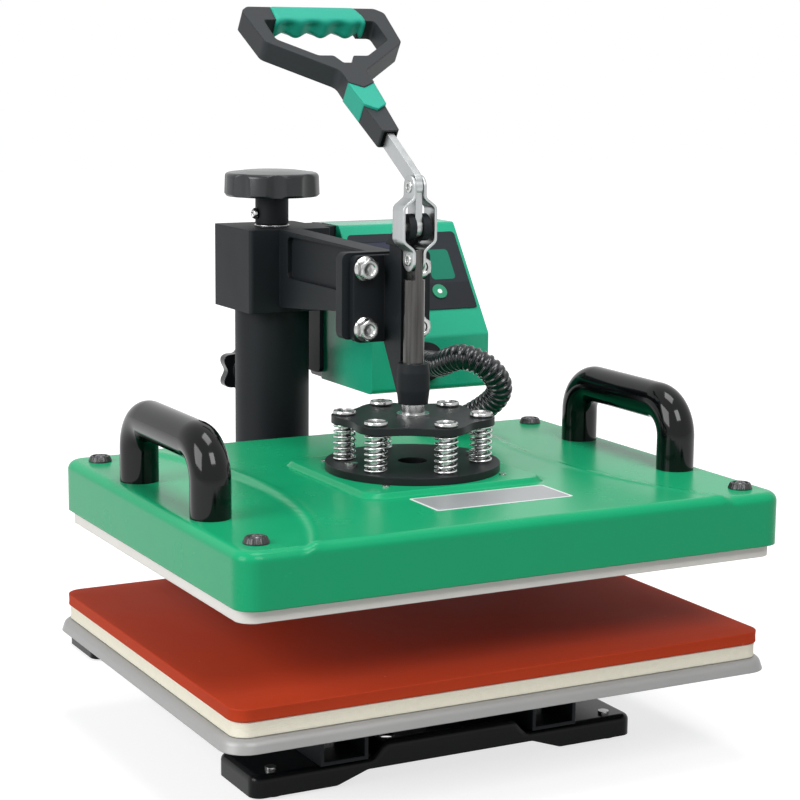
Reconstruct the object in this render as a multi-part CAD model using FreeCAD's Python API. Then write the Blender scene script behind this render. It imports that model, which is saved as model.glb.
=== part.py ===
"""Combo heat press, swing-away pattern, with a 380 x 300 mm bed. Millimetres, +Z up.

The origin is on the bench under the middle of the machine. The operator stands at -Y, the
column is at the back, and the platen hangs over the bed on a toggle worked by the long lever.
"""
import FreeCAD
import Part
import math
import os

from FreeCAD import Placement, Rotation
from FreeCAD import Vector as V

os.makedirs("parts", exist_ok=True)

# Where the main axes stand
heat_plate_width = 378.0
heat_plate_depth = 296.0
cover_side_lap = 3.0
cover_end_lap = 6.0
cover_width = heat_plate_width + 2 * cover_side_lap
cover_depth = heat_plate_depth + 2 * cover_end_lap
arm_reach = 226.0
rear_reach = 101.0
bed_setback = 11.0
column_y = (arm_reach + cover_depth / 2 - rear_reach) / 2
press_y = column_y - arm_reach
bed_y = press_y + bed_setback

# Clearances
running_gap = 0.05
bolt_gap = 0.1
seat_gap = 0.3
key_gap = 0.2

# Base frame: two pressed crossbars and two channel rails
frame_sheet = 2.5
front_crossbar_half = 143.0
rear_crossbar_half = 131.0
crossbar_depth = 58.0
crossbar_corner = 8.0
crossbar_edge = 4.5
crossbar_bend = 8.0
crossbar_setback = 41.0
skirt_bottom = 1.5
end_top = 16.0
middle_rise = 10.0
middle_lift = 7.5
middle_slope = 9.0
middle_end_gap = 4.0
skirt_lift_start = 62.0
skirt_lift_end = 84.0
front_crossbar_y = bed_y - crossbar_setback
rail_centre_x = 79.0
rail_width = 34.0
rail_height = 53.5
rail_low_height = 22.0
rail_slope = 16.0
foot_inset_x = 17.0
foot_offset_y = 18.0
foot_radius = 8.0
foot_screw_radius = 2.0
foot_screw_head_radius = 3.75
foot_screw_head = 1.8
frame_bolt_radius = 4.0
frame_bolt_head = 5.3
frame_bolt_flats = 13.0
access_hole_radius = 5.0
access_hole_x = -43.0
small_hole_radius = 2.25
small_hole_x = (-11.0, 24.5)
hole_offset_y = 18.0

# Bed: pan, foam mat and silicone pad
bed_width = 380.0
bed_depth = 300.0
tray_margin = 5.0
tray_sheet = 2.5
tray_rim = 8.0
tray_corner = 17.0
tray_flare = 2.0
tray_roll = 5.0
foam_inset = 1.0
foam_thickness = 10.0
foam_corner = 11.0
pad_thickness = 8.0
pad_corner = 12.0
lug_thickness = 3.0
lug_leg = 20.0
lug_width = 24.0
lug_y_step = 85.0
tray_screw_radius = 2.5
tray_screw_head_radius = 4.75
tray_screw_head = 3.0

# Column, lift spindle and swing post
column_radius = 28.0
column_wall = 5.0
column_top = 273.0
column_plate_depth = 110.0
column_plate_thickness = 8.0
column_plate_corner = 8.0
nut_height = 16.0
spindle_radius = 8.0
spindle_tail = 20.0
collar_radius = 18.0
collar_height = 6.0
collar_gap = 8.0
washer_height = 2.0
washer_radius = 22.0
post_bore_radius = 10.0
post_spigot_radius = 20.0
post_spigot_height = 25.0

# Column lock
lock_z = 218.0
lock_boss_radius = 11.0
lock_boss_reach = 7.0
lock_stud_radius = 5.0
lock_knob_gap = 17.0
lock_knob_radius = 21.0
lock_knob_lobe = 2.6
lock_knob_lobes = 6
lock_knob_rim = 8.0
lock_knob_hub_radius = 11.0
lock_knob_hub = 15.0
lock_stud_bite = 9.0

# Arm casting
hub_half_x = 33.0
hub_half_y = 34.0
hub_bottom = 273.5
hub_top = 335.0
hub_corner = 3.0
beam_half = 9.0
beam_front_top = 332.0
beam_root_bottom = 277.0
beam_front_bottom = 290.0
pocket_depth = 4.0
pocket_bottom = 300.5
pocket_top = 331.0
pocket_corner = 5.0
pocket_end_gap = 13.0
flare_length = 11.0
flare_half = 11.5
arm_flange_half = 33.5
arm_flange_thickness = 9.0
arm_flange_rise = 1.5

# Clamp bracket that carries the guide and the toggle
plate_front = 32.5
plate_thickness = 7.0
plate_half = 28.0
plate_bottom = 272.5
plate_top = 331.0
plate_corner = 5.0
web_half = 5.0
web_front = 9.0
web_back = 26.0
web_top = 340.0
ear_inner = 2.8
ear_thickness = 5.0
ear_radius = 9.0
guide_bottom = 235.0
guide_top = 262.0
guide_belly_low = 9.0
guide_belly_high = 21.0
guide_radius = 11.0
guide_end_radius = 10.0
bush_wall = 1.5
bracket_bolt_x = 19.8
bracket_bolt_step = 40.7
bracket_bolt_z = 302.0
bracket_bolt_radius = 4.0
bracket_bolt_flange_radius = 9.2
bracket_bolt_flange = 2.0
bracket_bolt_flats = 13.0
bracket_bolt_head = 6.0
bracket_nut = 6.5

# Toggle: crank length, link length and stroke
pivot_b_z = 352.0
crank = 26.5
link_length = 48.0
stroke = 2 * crank
pivot_radius = 3.0
pivot_head_radius = 5.0
pivot_head = 1.6
link_sheet = 1.9
link_skew = 0.45
link_inner = 2.8
link_wide = 10.8
link_depth = 15.0
link_end_radius = 7.5
link_neck_top = 7.5
link_shoulder_top = 13.5
link_neck_bottom = 6.6
link_shoulder_bottom = 12.9
link_head_radius = 4.2
link_head = 1.2

# Plunger
rod_radius = 7.0
tongue_half = 2.6
tongue_drop = 13.0
tongue_rise = 7.0
sleeve_ring_radius = 7.8
sleeve_ring_height = 6.2
sleeve_flange_radius = 11.0
sleeve_flange = 2.0
stub_radius = 5.0
plunger_nut_height = 4.0
plunger_nut_flats = 15.0
spider_thickness = 5.0
spider_radius = 50.5
spider_lobe = 4.0
spider_bolt_count = 6
spider_bolt_circle = 45.5
spider_bolt_radius = 4.25
spider_bolt_head_radius = 7.85
spider_bolt_head = 3.5

# Springs
spring_outer_radius = 7.65
spring_wire = 1.7
spring_turns = 6.5
spring_length = 25.5

# Platen, from the heat plate's lowest face at the top of the stroke
plate_gap_closed = 0.5
heat_plate_corner = 11.0
heat_plate_thickness = 14.0
element_thickness = 1.0
element_inset = 25.0
insulation_thickness = 10.0
insulation_inset = 20.0
cover_overlap = 5.5
cover_sheet = 1.5
cover_corner = 12.0
cover_edge_radius = 6.0
cover_height = 36.0
cover_end_drop = 1.5
cover_square_half_x = 67.0
cover_square_half_y = 65.0
cover_square_corner = 13.0
cover_square_rise = 3.0
cover_arc_front_x = cover_width / 2 - 43.0
cover_arc_middle_x = cover_width / 2 - 84.0
cover_arc_back_x = cover_width / 2 - 52.0
cover_arc_middle_y = 10.0
disc_radius = 58.5
disc_thickness = 5.0
disc_hole_radius = 10.0
disc_screw_circle = 46.0
disc_screw_head_radius = 4.25
disc_screw_head = 2.5
disc_screw_radius = 2.5
standoff_radius = 6.0
corner_screw_x = heat_plate_width / 2 - 16.5
corner_screw_y = heat_plate_depth / 2 - 17.0
cup_radius = 8.0
cup_top_radius = 6.5
cup_height = 4.0
cover_screw_head_radius = 4.0
cover_screw_head = 2.4
cover_screw_radius = 2.0
screw_engagement = 12.0
rivet_x = 43.5
rivet_y = 45.0
rivet_radius = 2.5
rivet_head = 0.8
handle_x = heat_plate_width / 2 - 18.0
handle_foot_y = 60.0
handle_radius = 12.75
handle_height = 56.5
handle_bend = 22.0
handle_screw_radius = 3.0
handle_screw_head_radius = 5.5
handle_screw_head = 3.0
handle_screw_depth = 16.0

# Lever and its handle, in the lever's own frame: X across, L along the lever, N square to it
lever_lean = 32.5
lever_half = 2.5
lever_edge = 5.4
lever_eye_radius = 6.5
lever_offset = 3.4
lever_end = 92.0
neck_start = 48.0
neck_start_half = 6.3
neck_end_half = 8.1
neck_low = -2.6
neck_high = 11.0
neck_corner = 1.5
neck_band_start = 77.0
neck_band_end = 102.0
band_start_half = 8.5
band_end_half = 10.0
band_low = -2.2
band_high = 12.8
neck_chevron = 6.0
frame_low = -1.5
frame_high = 13.5
frame_stem_half = 9.8
frame_stem_end = 116.0
frame_shoulder_half = 53.0
frame_shoulder_l = 151.5
frame_top_half = 56.0
frame_top_l = 190.5
frame_end_half = 50.0
frame_end_l = 196.0
frame_top_bar = 16.5
frame_side_bar = 9.5
opening_top_half = frame_shoulder_half - frame_side_bar
opening_top_l = frame_end_l - frame_top_bar
opening_side_l = 154.5
opening_low_half = 19.0
opening_low_l = 134.5
opening_notch_half = 3.6
opening_notch_top = 7.5
opening_notch_l = 125.7
grip_half = 32.0
grip_l = frame_end_l - 7.5
grip_n = 7.3
grip_radius = 10.3
grip_core_half = 4.5
grip_waves = 4
grip_wave_depth = 2.6

# Pressure knob on the hub
knob_washer_radius = 13.3
knob_washer_height = 1.0
knob_sleeve_radius = 12.5
knob_sleeve_height = 21.5
knob_radius = 35.3
knob_lobe = 1.2
knob_lobes = 8
knob_height = 20.0
knob_crown = 3.0
knob_recess = 8.0
set_screw_radius = 2.5
set_screw_rise = 8.5
set_screw_head_radius = 4.2
set_screw_head = 3.6

# Control box
box_left = 46.0
box_right = 145.0
box_wall = 2.5
box_front_offset = 77.0
box_split_offset = 9.0
box_back_offset = 31.0
box_bottom = 214.0
box_nose_top = 255.0
box_top_offset = 20.0
box_back_inset = 1.0
box_round = 4.0
box_screw_inset = 6.0
box_screw_radius = 1.5
box_screw_head_radius = 2.75
box_screw_head = 2.0
box_screw_bite = 10.0
box_boss_radius = 4.0
box_boss_length = 24.0
bracket_thickness = 3.3
bracket_bottom = box_bottom + 5.0
bracket_start = 5.0
bracket_end = 28.0
bracket_corner = 5.0
bracket_top_drop = 4.0
bracket_block_half = 17.0
bracket_block_bottom = 285.0
bracket_block_drop = 0.5
bracket_block_corner = 3.0
box_bolt_radius = 3.0
box_bolt_head_radius = 5.0
box_bolt_head = 5.0
box_bolt_bite = 13.0
box_bolt_y = (-12.0, 2.0)
box_bolt_z = 305.0
panel_start = 22.0
panel_end = 89.0
panel_left = 50.0
panel_right = 142.0
panel_thickness = 1.0
key_row = 36.9
key_x = (62.0, 88.0, 113.5)
key_radius = 6.0
key_flange_radius = 7.5
key_flange = 1.0
key_proud = 0.8
key_travel = 0.8
display_left = 56.0
display_right = 104.0
display_low = 58.0
display_high = 82.0
board_depth = 9.0
board_thickness = 1.6
board_post_radius = 3.0
board_screw_radius = 1.25
board_screw_head_radius = 2.5
board_screw_head = 1.6
display_gap = 0.3
gland_x = 88.0
gland_z = 237.0
gland_radius = 15.0
gland_height = 6.0
inlet_x = 118.0
inlet_z = box_bottom + 24.0
inlet_half_x = 13.5
inlet_half_z = 10.0
inlet_flange = 4.0
inlet_flange_thickness = 1.5
inlet_depth = 15.0
inlet_socket_depth = 12.0
inlet_wall = 1.5
inlet_corner = 3.0
blade_spots = ((-7.0, -2.0), (0.0, 3.0), (7.0, -2.0))
blade_half_x = 1.0
blade_half_z = 2.0
blade_length = 9.0
switch_x = 78.0
switch_half_x = 7.0
switch_half_z = 11.0
switch_wall = 1.8
switch_corner = 1.0
switch_flange = 1.5
switch_depth = 12.0
switch_floor = 2.0
rocker_half_z = 7.5
rocker_foot = 4.0
rocker_foot_half_z = 3.0
rocker_shoulder = 3.4
rocker_top = 5.2
rocker_dip = 3.6
rocker_tilt = 8.0
rocker_trunnion_radius = 1.5
rocker_trunnion_depth = 3.0
trunnion_skin = 0.5

# Hose from the box to the platen
hose_radius = 9.5
hose_valley_radius = 8.1
hose_bore_radius = 6.0
hose_ribs = 30
hose_route = ((88.2, 105.3, 242.6), (93.3, 92.5, 245.0), (107.5, 82.0, 238.3), (118.7, 84.3, 222.1))
hose_foot_x = 91.0
hose_foot_y = 126.5
hose_foot_direction = (0.606, -0.661, 0.442)
platen_gland_radius = 12.0
gland_lift = 0.6

# Heights worked out from the stack
rail_top = end_top + rail_height
rail_low_top = end_top + rail_low_height
tray_top = rail_top + tray_sheet
foam_top = tray_top + foam_thickness
bed_top = foam_top + pad_thickness
plate_z = bed_top + plate_gap_closed + stroke
heat_top = plate_z + heat_plate_thickness
cover_bottom = heat_top - cover_overlap
cover_top = cover_bottom + cover_height
square_top = cover_top + cover_square_rise
disc_top = square_top + disc_thickness
spider_bottom = disc_top + spring_length
spider_top = spider_bottom + spider_thickness
pivot_a_z = pivot_b_z + crank
pivot_c_z = pivot_a_z - link_length
rear_crossbar_y = column_y + rear_reach - crossbar_depth / 2
plate_back_y = press_y + plate_front + plate_thickness
flange_back_y = plate_back_y + arm_flange_thickness
hub_front_y = column_y - hub_half_y
knob_bottom = hub_top + knob_washer_height + knob_sleeve_height
along_y = V(0, 1, 0)
along_x = V(1, 0, 0)


def box(x0, x1, y0, y1, z0, z1):
    return Part.makeBox(x1 - x0, y1 - y0, z1 - z0, V(x0, y0, z0))


def rod(x, y, z, radius, length, axis=V(0, 0, 1)):
    return Part.makeCylinder(radius, length, V(x, y, z), axis)


def in_plan(z):
    return lambda u, v: V(u, v, z)


def in_side_view(x):
    return lambda u, v: V(x, u, v)


def in_front_view(y):
    return lambda u, v: V(u, y, v)


def outline(points, radius, place):
    """Closed face through the points, with an arc at each corner, put in space by place(u, v)."""
    count = len(points)
    radii = radius if isinstance(radius, (list, tuple)) else [radius] * count
    spans = []
    for i, (u, v) in enumerate(points):
        before = V(*points[i - 1], 0) - V(u, v, 0)
        after = V(*points[(i + 1) % count], 0) - V(u, v, 0)
        half_turn = before.getAngle(after) / 2
        before.normalize()
        after.normalize()
        back = radii[i] / math.tan(half_turn) if radii[i] > 0 else 0.0
        corner = V(u, v, 0)
        middle = before + after
        if radii[i] > 0:
            middle.normalize()
            top = corner + middle * (radii[i] / math.sin(half_turn) - radii[i])
            spans.append((corner + before * back, top, corner + after * back))
        else:
            spans.append((corner, None, corner))
    edges = []
    for i, (start, top, end) in enumerate(spans):
        if top is not None:
            arc = Part.Arc(place(start.x, start.y), place(top.x, top.y), place(end.x, end.y))
            edges.append(arc.toShape())
        following = spans[(i + 1) % count][0]
        if (following - end).Length > 1e-6:
            edges.append(Part.makeLine(place(end.x, end.y), place(following.x, following.y)))
    return Part.Face(Part.Wire(Part.__sortEdges__(edges)))


def rectangle(half_u, half_v, u=0.0, v=0.0):
    low = [(u - half_u, v - half_v), (u + half_u, v - half_v)]
    return low + [(u + half_u, v + half_v), (u - half_u, v + half_v)]


def slab(width, depth, corner, z0, z1, x=0.0, y=0.0):
    """Upright block with round corners in plan."""
    return outline(rectangle(width / 2, depth / 2, x, y), corner, in_plan(z0)).extrude(V(0, 0, z1 - z0))


def across(points, radius, x0, x1):
    """Prism along X whose points are (y, z)."""
    return outline(points, radius, in_side_view(x0)).extrude(V(x1 - x0, 0, 0))


def deep(points, radius, y0, y1):
    """Prism along Y whose points are (x, z)."""
    return outline(points, radius, in_front_view(y0)).extrude(V(0, y1 - y0, 0))


def upright(points, radius, z0, z1):
    """Prism along Z whose points are (x, y)."""
    return outline(points, radius, in_plan(z0)).extrude(V(0, 0, z1 - z0))


def strap(start, end, radius, x0, x1):
    """Round-ended bar in a side view, from one (y, z) centre to the other."""
    run = V(end[0] - start[0], end[1] - start[1], 0)
    run.normalize()
    side = V(-run.y, run.x, 0) * radius
    first = V(start[0], start[1], 0) - run * radius
    last = V(end[0], end[1], 0) + run * radius
    corners = [first - side, last - side, last + side, first + side]
    return across([(c.x, c.y) for c in corners], radius * 0.9999, x0, x1)


def turned(profile, x, y, z):
    """Solid of revolution about a vertical axis, from (radius, height) points."""
    points = [V(x + r, y, z + h) for r, h in profile]
    face = Part.Face(Part.makePolygon(points + [points[0]]))
    return face.revolve(V(x, y, z), V(0, 0, 1), 360)


def turned_along_y(profile, x, y, z):
    """Solid of revolution about an axis along Y, from (radius, distance) points."""
    points = [V(x + r, y + h, z) for r, h in profile]
    face = Part.Face(Part.makePolygon(points + [points[0]]))
    return face.revolve(V(x, y, z), along_y, 360)


def hexagon(flats, x, y, z, height, axis=V(0, 0, 1)):
    reach = flats / math.sqrt(3)
    angles = [math.radians(60 * i) for i in range(6)]
    points = [V(reach * math.cos(angle), reach * math.sin(angle), 0) for angle in angles]
    prism = Part.Face(Part.makePolygon(points + [points[0]])).extrude(V(0, 0, height))
    prism.Placement = Placement(V(x, y, z), Rotation(V(0, 0, 1), axis))
    return prism


def lobed(mean_radius, wave, lobes, first_angle, place):
    """Face inside a closed curve whose radius is the mean plus a cosine wave, one crest per lobe."""
    points = []
    for i in range(lobes * 8):
        angle = 2 * math.pi * i / (lobes * 8)
        radius = mean_radius + wave * math.cos(lobes * (angle - math.radians(first_angle)))
        points.append(place(radius * math.cos(angle), radius * math.sin(angle)))
    curve = Part.BSplineCurve()
    curve.interpolate(points, PeriodicFlag=True)
    return Part.Face(Part.Wire(curve.toShape()))


def round_top(block, radius):
    """Round the edge between the walls and the top face."""
    top = max(v.Point.z for v in block.Vertexes)
    rim = [e for e in block.Edges if all(abs(v.Point.z - top) < 1e-6 for v in e.Vertexes)]
    return block.makeFillet(radius, rim)


def mirrored(shape):
    return shape.mirror(V(0, 0, 0), along_x)


def joined(shapes):
    return shapes[0].multiFuse(shapes[1:]).removeSplitter()


def save(name, *solids):
    """Write the node, after checking that every solid in it is closed and valid."""
    shape = solids[0] if len(solids) == 1 else Part.makeCompound(list(solids))
    for solid in shape.Solids:
        if not solid.isValid() or solid.Volume <= 0:
            raise ValueError("bad solid in " + name)
    print(name, len(shape.Solids), round(shape.Volume / 1000, 2), "cm3")
    shape.exportStep("parts/" + name + ".step")
    return shape


# Crossbars: one pressed channel at the front and its twin at the back
def channel_profile(half_length, inset, y0, y1):
    """The channel as a prism, drawn in by the inset, with its skirt cut away under the raised middle."""
    end = half_length - inset
    rise = end_top + middle_rise - inset
    foot_of_rise = rail_centre_x - rail_width / 2 - middle_end_gap - inset
    lowest = skirt_bottom if inset == 0 else -end_top
    lifted = skirt_bottom + middle_lift if inset == 0 else -end_top
    right = [(foot_of_rise - middle_slope, rise), (foot_of_rise, end_top - inset), (end, end_top - inset)]
    right += [(end, lowest)]
    radii = [crossbar_bend - inset, crossbar_bend + inset, 0, 0]
    if inset == 0:
        right += [(skirt_lift_end, lowest), (skirt_lift_start, lifted)]
        radii += [crossbar_bend, crossbar_bend]
    return deep(right + [(-x, z) for x, z in reversed(right)], radii + radii[::-1], y0, y1)


def crossbar(y, half_length, holes_forward):
    half = crossbar_depth / 2
    deck = end_top + middle_rise
    outer = channel_profile(half_length, 0, y - half, y + half)
    outer = outer.common(slab(2 * half_length, crossbar_depth, crossbar_corner, 0, 2 * deck, 0, y))
    rim = [e for e in outer.Edges if e.BoundBox.ZMin > end_top - 0.01 and e.BoundBox.YLength < half]
    outer = outer.makeFillet(crossbar_edge, rim)
    inner = channel_profile(half_length, frame_sheet, y - half + frame_sheet, y + half - frame_sheet)
    inside = slab(2 * (half_length - frame_sheet), crossbar_depth - 2 * frame_sheet,
                  crossbar_corner - frame_sheet, -deck, 2 * deck, 0, y)
    bar = outer.cut(inner.common(inside))
    cuts = []
    for side in (-1, 1):
        foot_x = side * (half_length - foot_inset_x)
        cuts.append(rod(foot_x, y - holes_forward * foot_offset_y, 0, foot_screw_radius + bolt_gap, 2 * deck))
        cuts.append(rod(side * rail_centre_x, y, 0, frame_bolt_radius + bolt_gap, 2 * deck))
    if holes_forward > 0:
        cuts.append(rod(access_hole_x, y - hole_offset_y, 0, access_hole_radius, 2 * deck))
        cuts += [rod(x, y - hole_offset_y, 0, small_hole_radius, 2 * deck) for x in small_hole_x]
    return bar.cut(Part.makeCompound(cuts))


save("front_crossbar", crossbar(front_crossbar_y, front_crossbar_half, 1))
save("rear_crossbar", crossbar(rear_crossbar_y, rear_crossbar_half, -1))

# Rubber feet: plugs inside the ends of the crossbars, each held by a pan-head screw from above
front_foot_x = front_crossbar_half - foot_inset_x
rear_foot_x = rear_crossbar_half - foot_inset_x
foot_spots = [(side * front_foot_x, front_crossbar_y - foot_offset_y) for side in (-1, 1)]
foot_spots += [(side * rear_foot_x, rear_crossbar_y + foot_offset_y) for side in (-1, 1)]
foot_height = end_top - frame_sheet
feet = []
foot_screws = []
for x, y in foot_spots:
    foot = rod(x, y, 0, foot_radius, foot_height)
    feet.append(foot.cut(rod(x, y, foot_height / 3, foot_screw_radius + running_gap, foot_height)))
    shank = rod(x, y, foot_height / 3 + 1, foot_screw_radius, end_top - foot_height / 3 - 1)
    foot_screws.append(shank.fuse(rod(x, y, end_top, foot_screw_head_radius, foot_screw_head)))
save("rubber_feet", *feet)

# Rails: open-topped channels on the crossbars, high under the bed and low behind it for the column plate
rail_front = front_crossbar_y - crossbar_depth / 2
rail_back = rear_crossbar_y + crossbar_depth / 2
rail_step_end = bed_y + bed_depth / 2 - tray_margin


def rail(side):
    profile = [(rail_front, end_top), (rail_back, end_top)]
    profile += [(rail_back, rail_low_top), (rail_step_end, rail_low_top)]
    profile += [(rail_step_end - rail_slope, rail_top), (rail_front, rail_top)]
    outer = across(profile, 0, -rail_width / 2, rail_width / 2)
    inner_half = rail_width / 2 - frame_sheet
    inner = box(-inner_half, inner_half, rail_front - 1, rail_back + 1, end_top + frame_sheet, rail_top + 1)
    channel = outer.cut(inner)
    for y in (front_crossbar_y, rear_crossbar_y):
        channel = channel.cut(rod(0, y, 0, frame_bolt_radius + bolt_gap, 40))
    return channel.translated(V(side * rail_centre_x, 0, 0))


save("left_rail", rail(-1))
save("right_rail", rail(1))

frame_bolts = []
for side in (-1, 1):
    for y in (front_crossbar_y, rear_crossbar_y):
        x = side * rail_centre_x
        floor = end_top + frame_sheet
        nut_top = end_top - frame_sheet
        head = hexagon(frame_bolt_flats, x, y, floor, frame_bolt_head)
        shank_end = nut_top - frame_bolt_head - 1
        shank = rod(x, y, shank_end, frame_bolt_radius, floor - shank_end)
        nut = hexagon(frame_bolt_flats, x, y, nut_top - frame_bolt_head, frame_bolt_head)
        frame_bolts.append(head.fuse(shank))
        frame_bolts.append(nut.cut(rod(x, y, 0, frame_bolt_radius + running_gap, 40)))

# Bed pan: a shallow sheet tray with a flared rim, on four small angle lugs riveted to the rails
tray_width = bed_width + 2 * tray_margin
tray_depth = bed_depth + 2 * tray_margin


def flared_pan(inset, z0, z1):
    """Block whose plan grows by the flare from top to bottom, with its top edge rolled over."""
    wires = []
    for z, grow in ((z0, 0.0), (z1, -tray_flare)):
        half_x = tray_width / 2 - inset + grow
        half_y = tray_depth / 2 - inset + grow
        face = outline(rectangle(half_x, half_y, 0, bed_y), tray_corner - inset, in_plan(z))
        wires.append(face.OuterWire)
    return round_top(Part.makeLoft(wires, True, True), tray_roll - inset)


tray = flared_pan(0, tray_top - tray_rim, tray_top)
tray = tray.cut(flared_pan(tray_sheet, tray_top - tray_rim - 2, tray_top - tray_sheet))
lug_inner_x = rail_centre_x - rail_width / 2
lug_spots = [(side, bed_y + step * lug_y_step) for side in (-1, 1) for step in (-0.5, 1)]
lugs = []
tray_screws = []
for side, y in lug_spots:
    ledge = box(lug_inner_x - lug_leg, lug_inner_x, y - lug_width / 2, y + lug_width / 2,
                rail_top - lug_thickness, rail_top)
    leg = box(lug_inner_x - lug_thickness, lug_inner_x, y - lug_width / 2, y + lug_width / 2,
              rail_top - lug_leg, rail_top)
    screw_x = lug_inner_x - lug_leg / 2
    hole = rod(screw_x, y, rail_top - lug_leg, tray_screw_radius + bolt_gap, 2 * lug_leg)
    lug = ledge.fuse(leg).cut(hole)
    tray_hole = hole
    lug_under = rail_top - lug_thickness
    head = rod(screw_x, y, lug_under - tray_screw_head, tray_screw_head_radius, tray_screw_head)
    screw = head.fuse(rod(screw_x, y, lug_under, tray_screw_radius, lug_thickness + tray_sheet))
    if side < 0:
        lug = mirrored(lug)
        tray_hole = mirrored(tray_hole)
        screw = mirrored(screw)
    lugs.append(lug)
    tray_screws.append(screw)
    tray = tray.cut(tray_hole)
save("lower_tray", tray)
save("frame_fixings", *frame_bolts, *foot_screws, *lugs, *tray_screws)
save("foam_mat", slab(bed_width - 2 * foam_inset, bed_depth - 2 * foam_inset, foam_corner,
                      tray_top, foam_top, 0, bed_y))
save("silicone_pad", slab(bed_width, bed_depth, pad_corner, foam_top, bed_top, 0, bed_y))

# Column: foot plate across the rails, tube with the lock boss, nut for the lift spindle
column_plate_top = rail_low_top + column_plate_thickness
column_plate = slab(2 * rail_centre_x + rail_width, column_plate_depth, column_plate_corner,
                    rail_low_top, column_plate_top, 0, column_y)
column_plate = column_plate.cut(rod(0, column_y, 0, spindle_radius + 1, column_top))

column_bore = column_radius - column_wall
boss_end = column_y + column_radius + lock_boss_reach
tube = rod(0, column_y, column_plate_top, column_radius, column_top - column_plate_top)
boss = rod(0, column_y, lock_z, lock_boss_radius, boss_end - column_y, along_y)
tube = tube.fuse(boss).cut(rod(0, column_y, column_plate_top - 1, column_bore, column_top))
tube = tube.cut(rod(0, column_y, lock_z, lock_stud_radius + running_gap, boss_end, along_y))
save("column_tube", tube)

nut = rod(0, column_y, column_plate_top, column_bore - running_gap, nut_height)
nut = nut.cut(rod(0, column_y, 0, spindle_radius + running_gap, 400))
save("column_plate", column_plate, nut)

# Lift spindle: its thread turns in the nut, and its collar carries the washer under the swing post
nut_top = column_plate_top + nut_height
collar_bottom = nut_top + collar_gap
collar_top = collar_bottom + collar_height
post_bottom = collar_top + washer_height
spindle_bottom = column_plate_top - spindle_tail
spindle_top = knob_bottom + knob_height - knob_recess
spindle = rod(0, column_y, spindle_bottom, spindle_radius, spindle_top - spindle_bottom)
spindle = spindle.fuse(rod(0, column_y, collar_bottom, collar_radius, collar_height))
save("pressure_spindle", spindle)
washer = rod(0, column_y, collar_top, washer_radius, washer_height)
save("thrust_washer", washer.cut(rod(0, column_y, 0, spindle_radius + bolt_gap, 400)))

post = rod(0, column_y, post_bottom, column_bore - running_gap, hub_bottom - post_bottom)
post = post.fuse(rod(0, column_y, hub_bottom, post_spigot_radius, post_spigot_height))
save("swivel_post", post.cut(rod(0, column_y, 0, post_bore_radius, 500)))

# Column lock: a six-lobed knob on a stud that presses on the swing post
stud_start = column_y + column_bore - running_gap + seat_gap
knob_start = column_y + column_radius + lock_knob_gap
stud = rod(0, stud_start, lock_z, lock_stud_radius, knob_start + lock_stud_bite - stud_start, along_y)
rim_start = knob_start + (lock_knob_hub - lock_knob_rim) / 2
rim_face = lobed(lock_knob_radius - lock_knob_lobe, lock_knob_lobe, lock_knob_lobes, 30,
                 lambda u, v: V(u, rim_start, lock_z + v))
lock_knob = rim_face.extrude(V(0, lock_knob_rim, 0))
lock_knob = lock_knob.fuse(rod(0, knob_start, lock_z, lock_knob_hub_radius, lock_knob_hub, along_y))
save("lock_knob", lock_knob.cut(stud), stud)

# Arm casting: hub block, I-beam and front flange in one piece
hub = slab(2 * hub_half_x, 2 * hub_half_y, hub_corner, hub_bottom, hub_top, 0, column_y)
beam_points = [(hub_front_y + hub_corner, beam_root_bottom), (hub_front_y + hub_corner, hub_top)]
beam_points += [(flange_back_y - 1, beam_front_top), (flange_back_y - 1, beam_front_bottom)]
beam = across(beam_points, 0, -beam_half, beam_half)
pocket_back = hub_front_y - pocket_end_gap
pocket_front = flange_back_y + pocket_end_gap
pocket_points = [(pocket_front, pocket_bottom), (pocket_back, pocket_bottom)]
pocket_points += [(pocket_back, pocket_top), (pocket_front, pocket_top)]
pocket = across(pocket_points, pocket_corner, beam_half - pocket_depth, beam_half + 1)
beam = beam.cut(pocket).cut(mirrored(pocket))
flare_points = [(-beam_half, flange_back_y + flare_length), (beam_half, flange_back_y + flare_length)]
flare_points += [(flare_half, flange_back_y - 1), (-flare_half, flange_back_y - 1)]
flare = upright(flare_points, 0, beam_front_bottom, beam_front_top)
plate_mid_z = (plate_bottom + plate_top) / 2
plate_half_z = (plate_top - plate_bottom) / 2
arm_flange = deep(rectangle(arm_flange_half, plate_half_z, 0, plate_mid_z + arm_flange_rise), plate_corner,
                  plate_back_y, flange_back_y)
bolt_spots = [(side * bracket_bolt_x, bracket_bolt_z + level * bracket_bolt_step / 2)
              for side in (-1, 1) for level in (-1, 1)]
arm = joined([hub, beam, flare, arm_flange])
arm = arm.cut(rod(0, column_y, 0, spindle_radius + bolt_gap, 500))
arm = arm.cut(rod(0, column_y, hub_bottom - 1, post_spigot_radius + running_gap, post_spigot_height + 1))
for x, z in bolt_spots:
    arm = arm.cut(rod(x, press_y, z, bracket_bolt_radius + bolt_gap, 80, along_y))
box_bolt_spots = [(column_y + y, box_bolt_z) for y in box_bolt_y]
for y, z in box_bolt_spots:
    arm = arm.cut(rod(hub_half_x - box_bolt_bite, y, z, box_bolt_radius + running_gap, 60, along_x))
save("arm_casting", arm)

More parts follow.
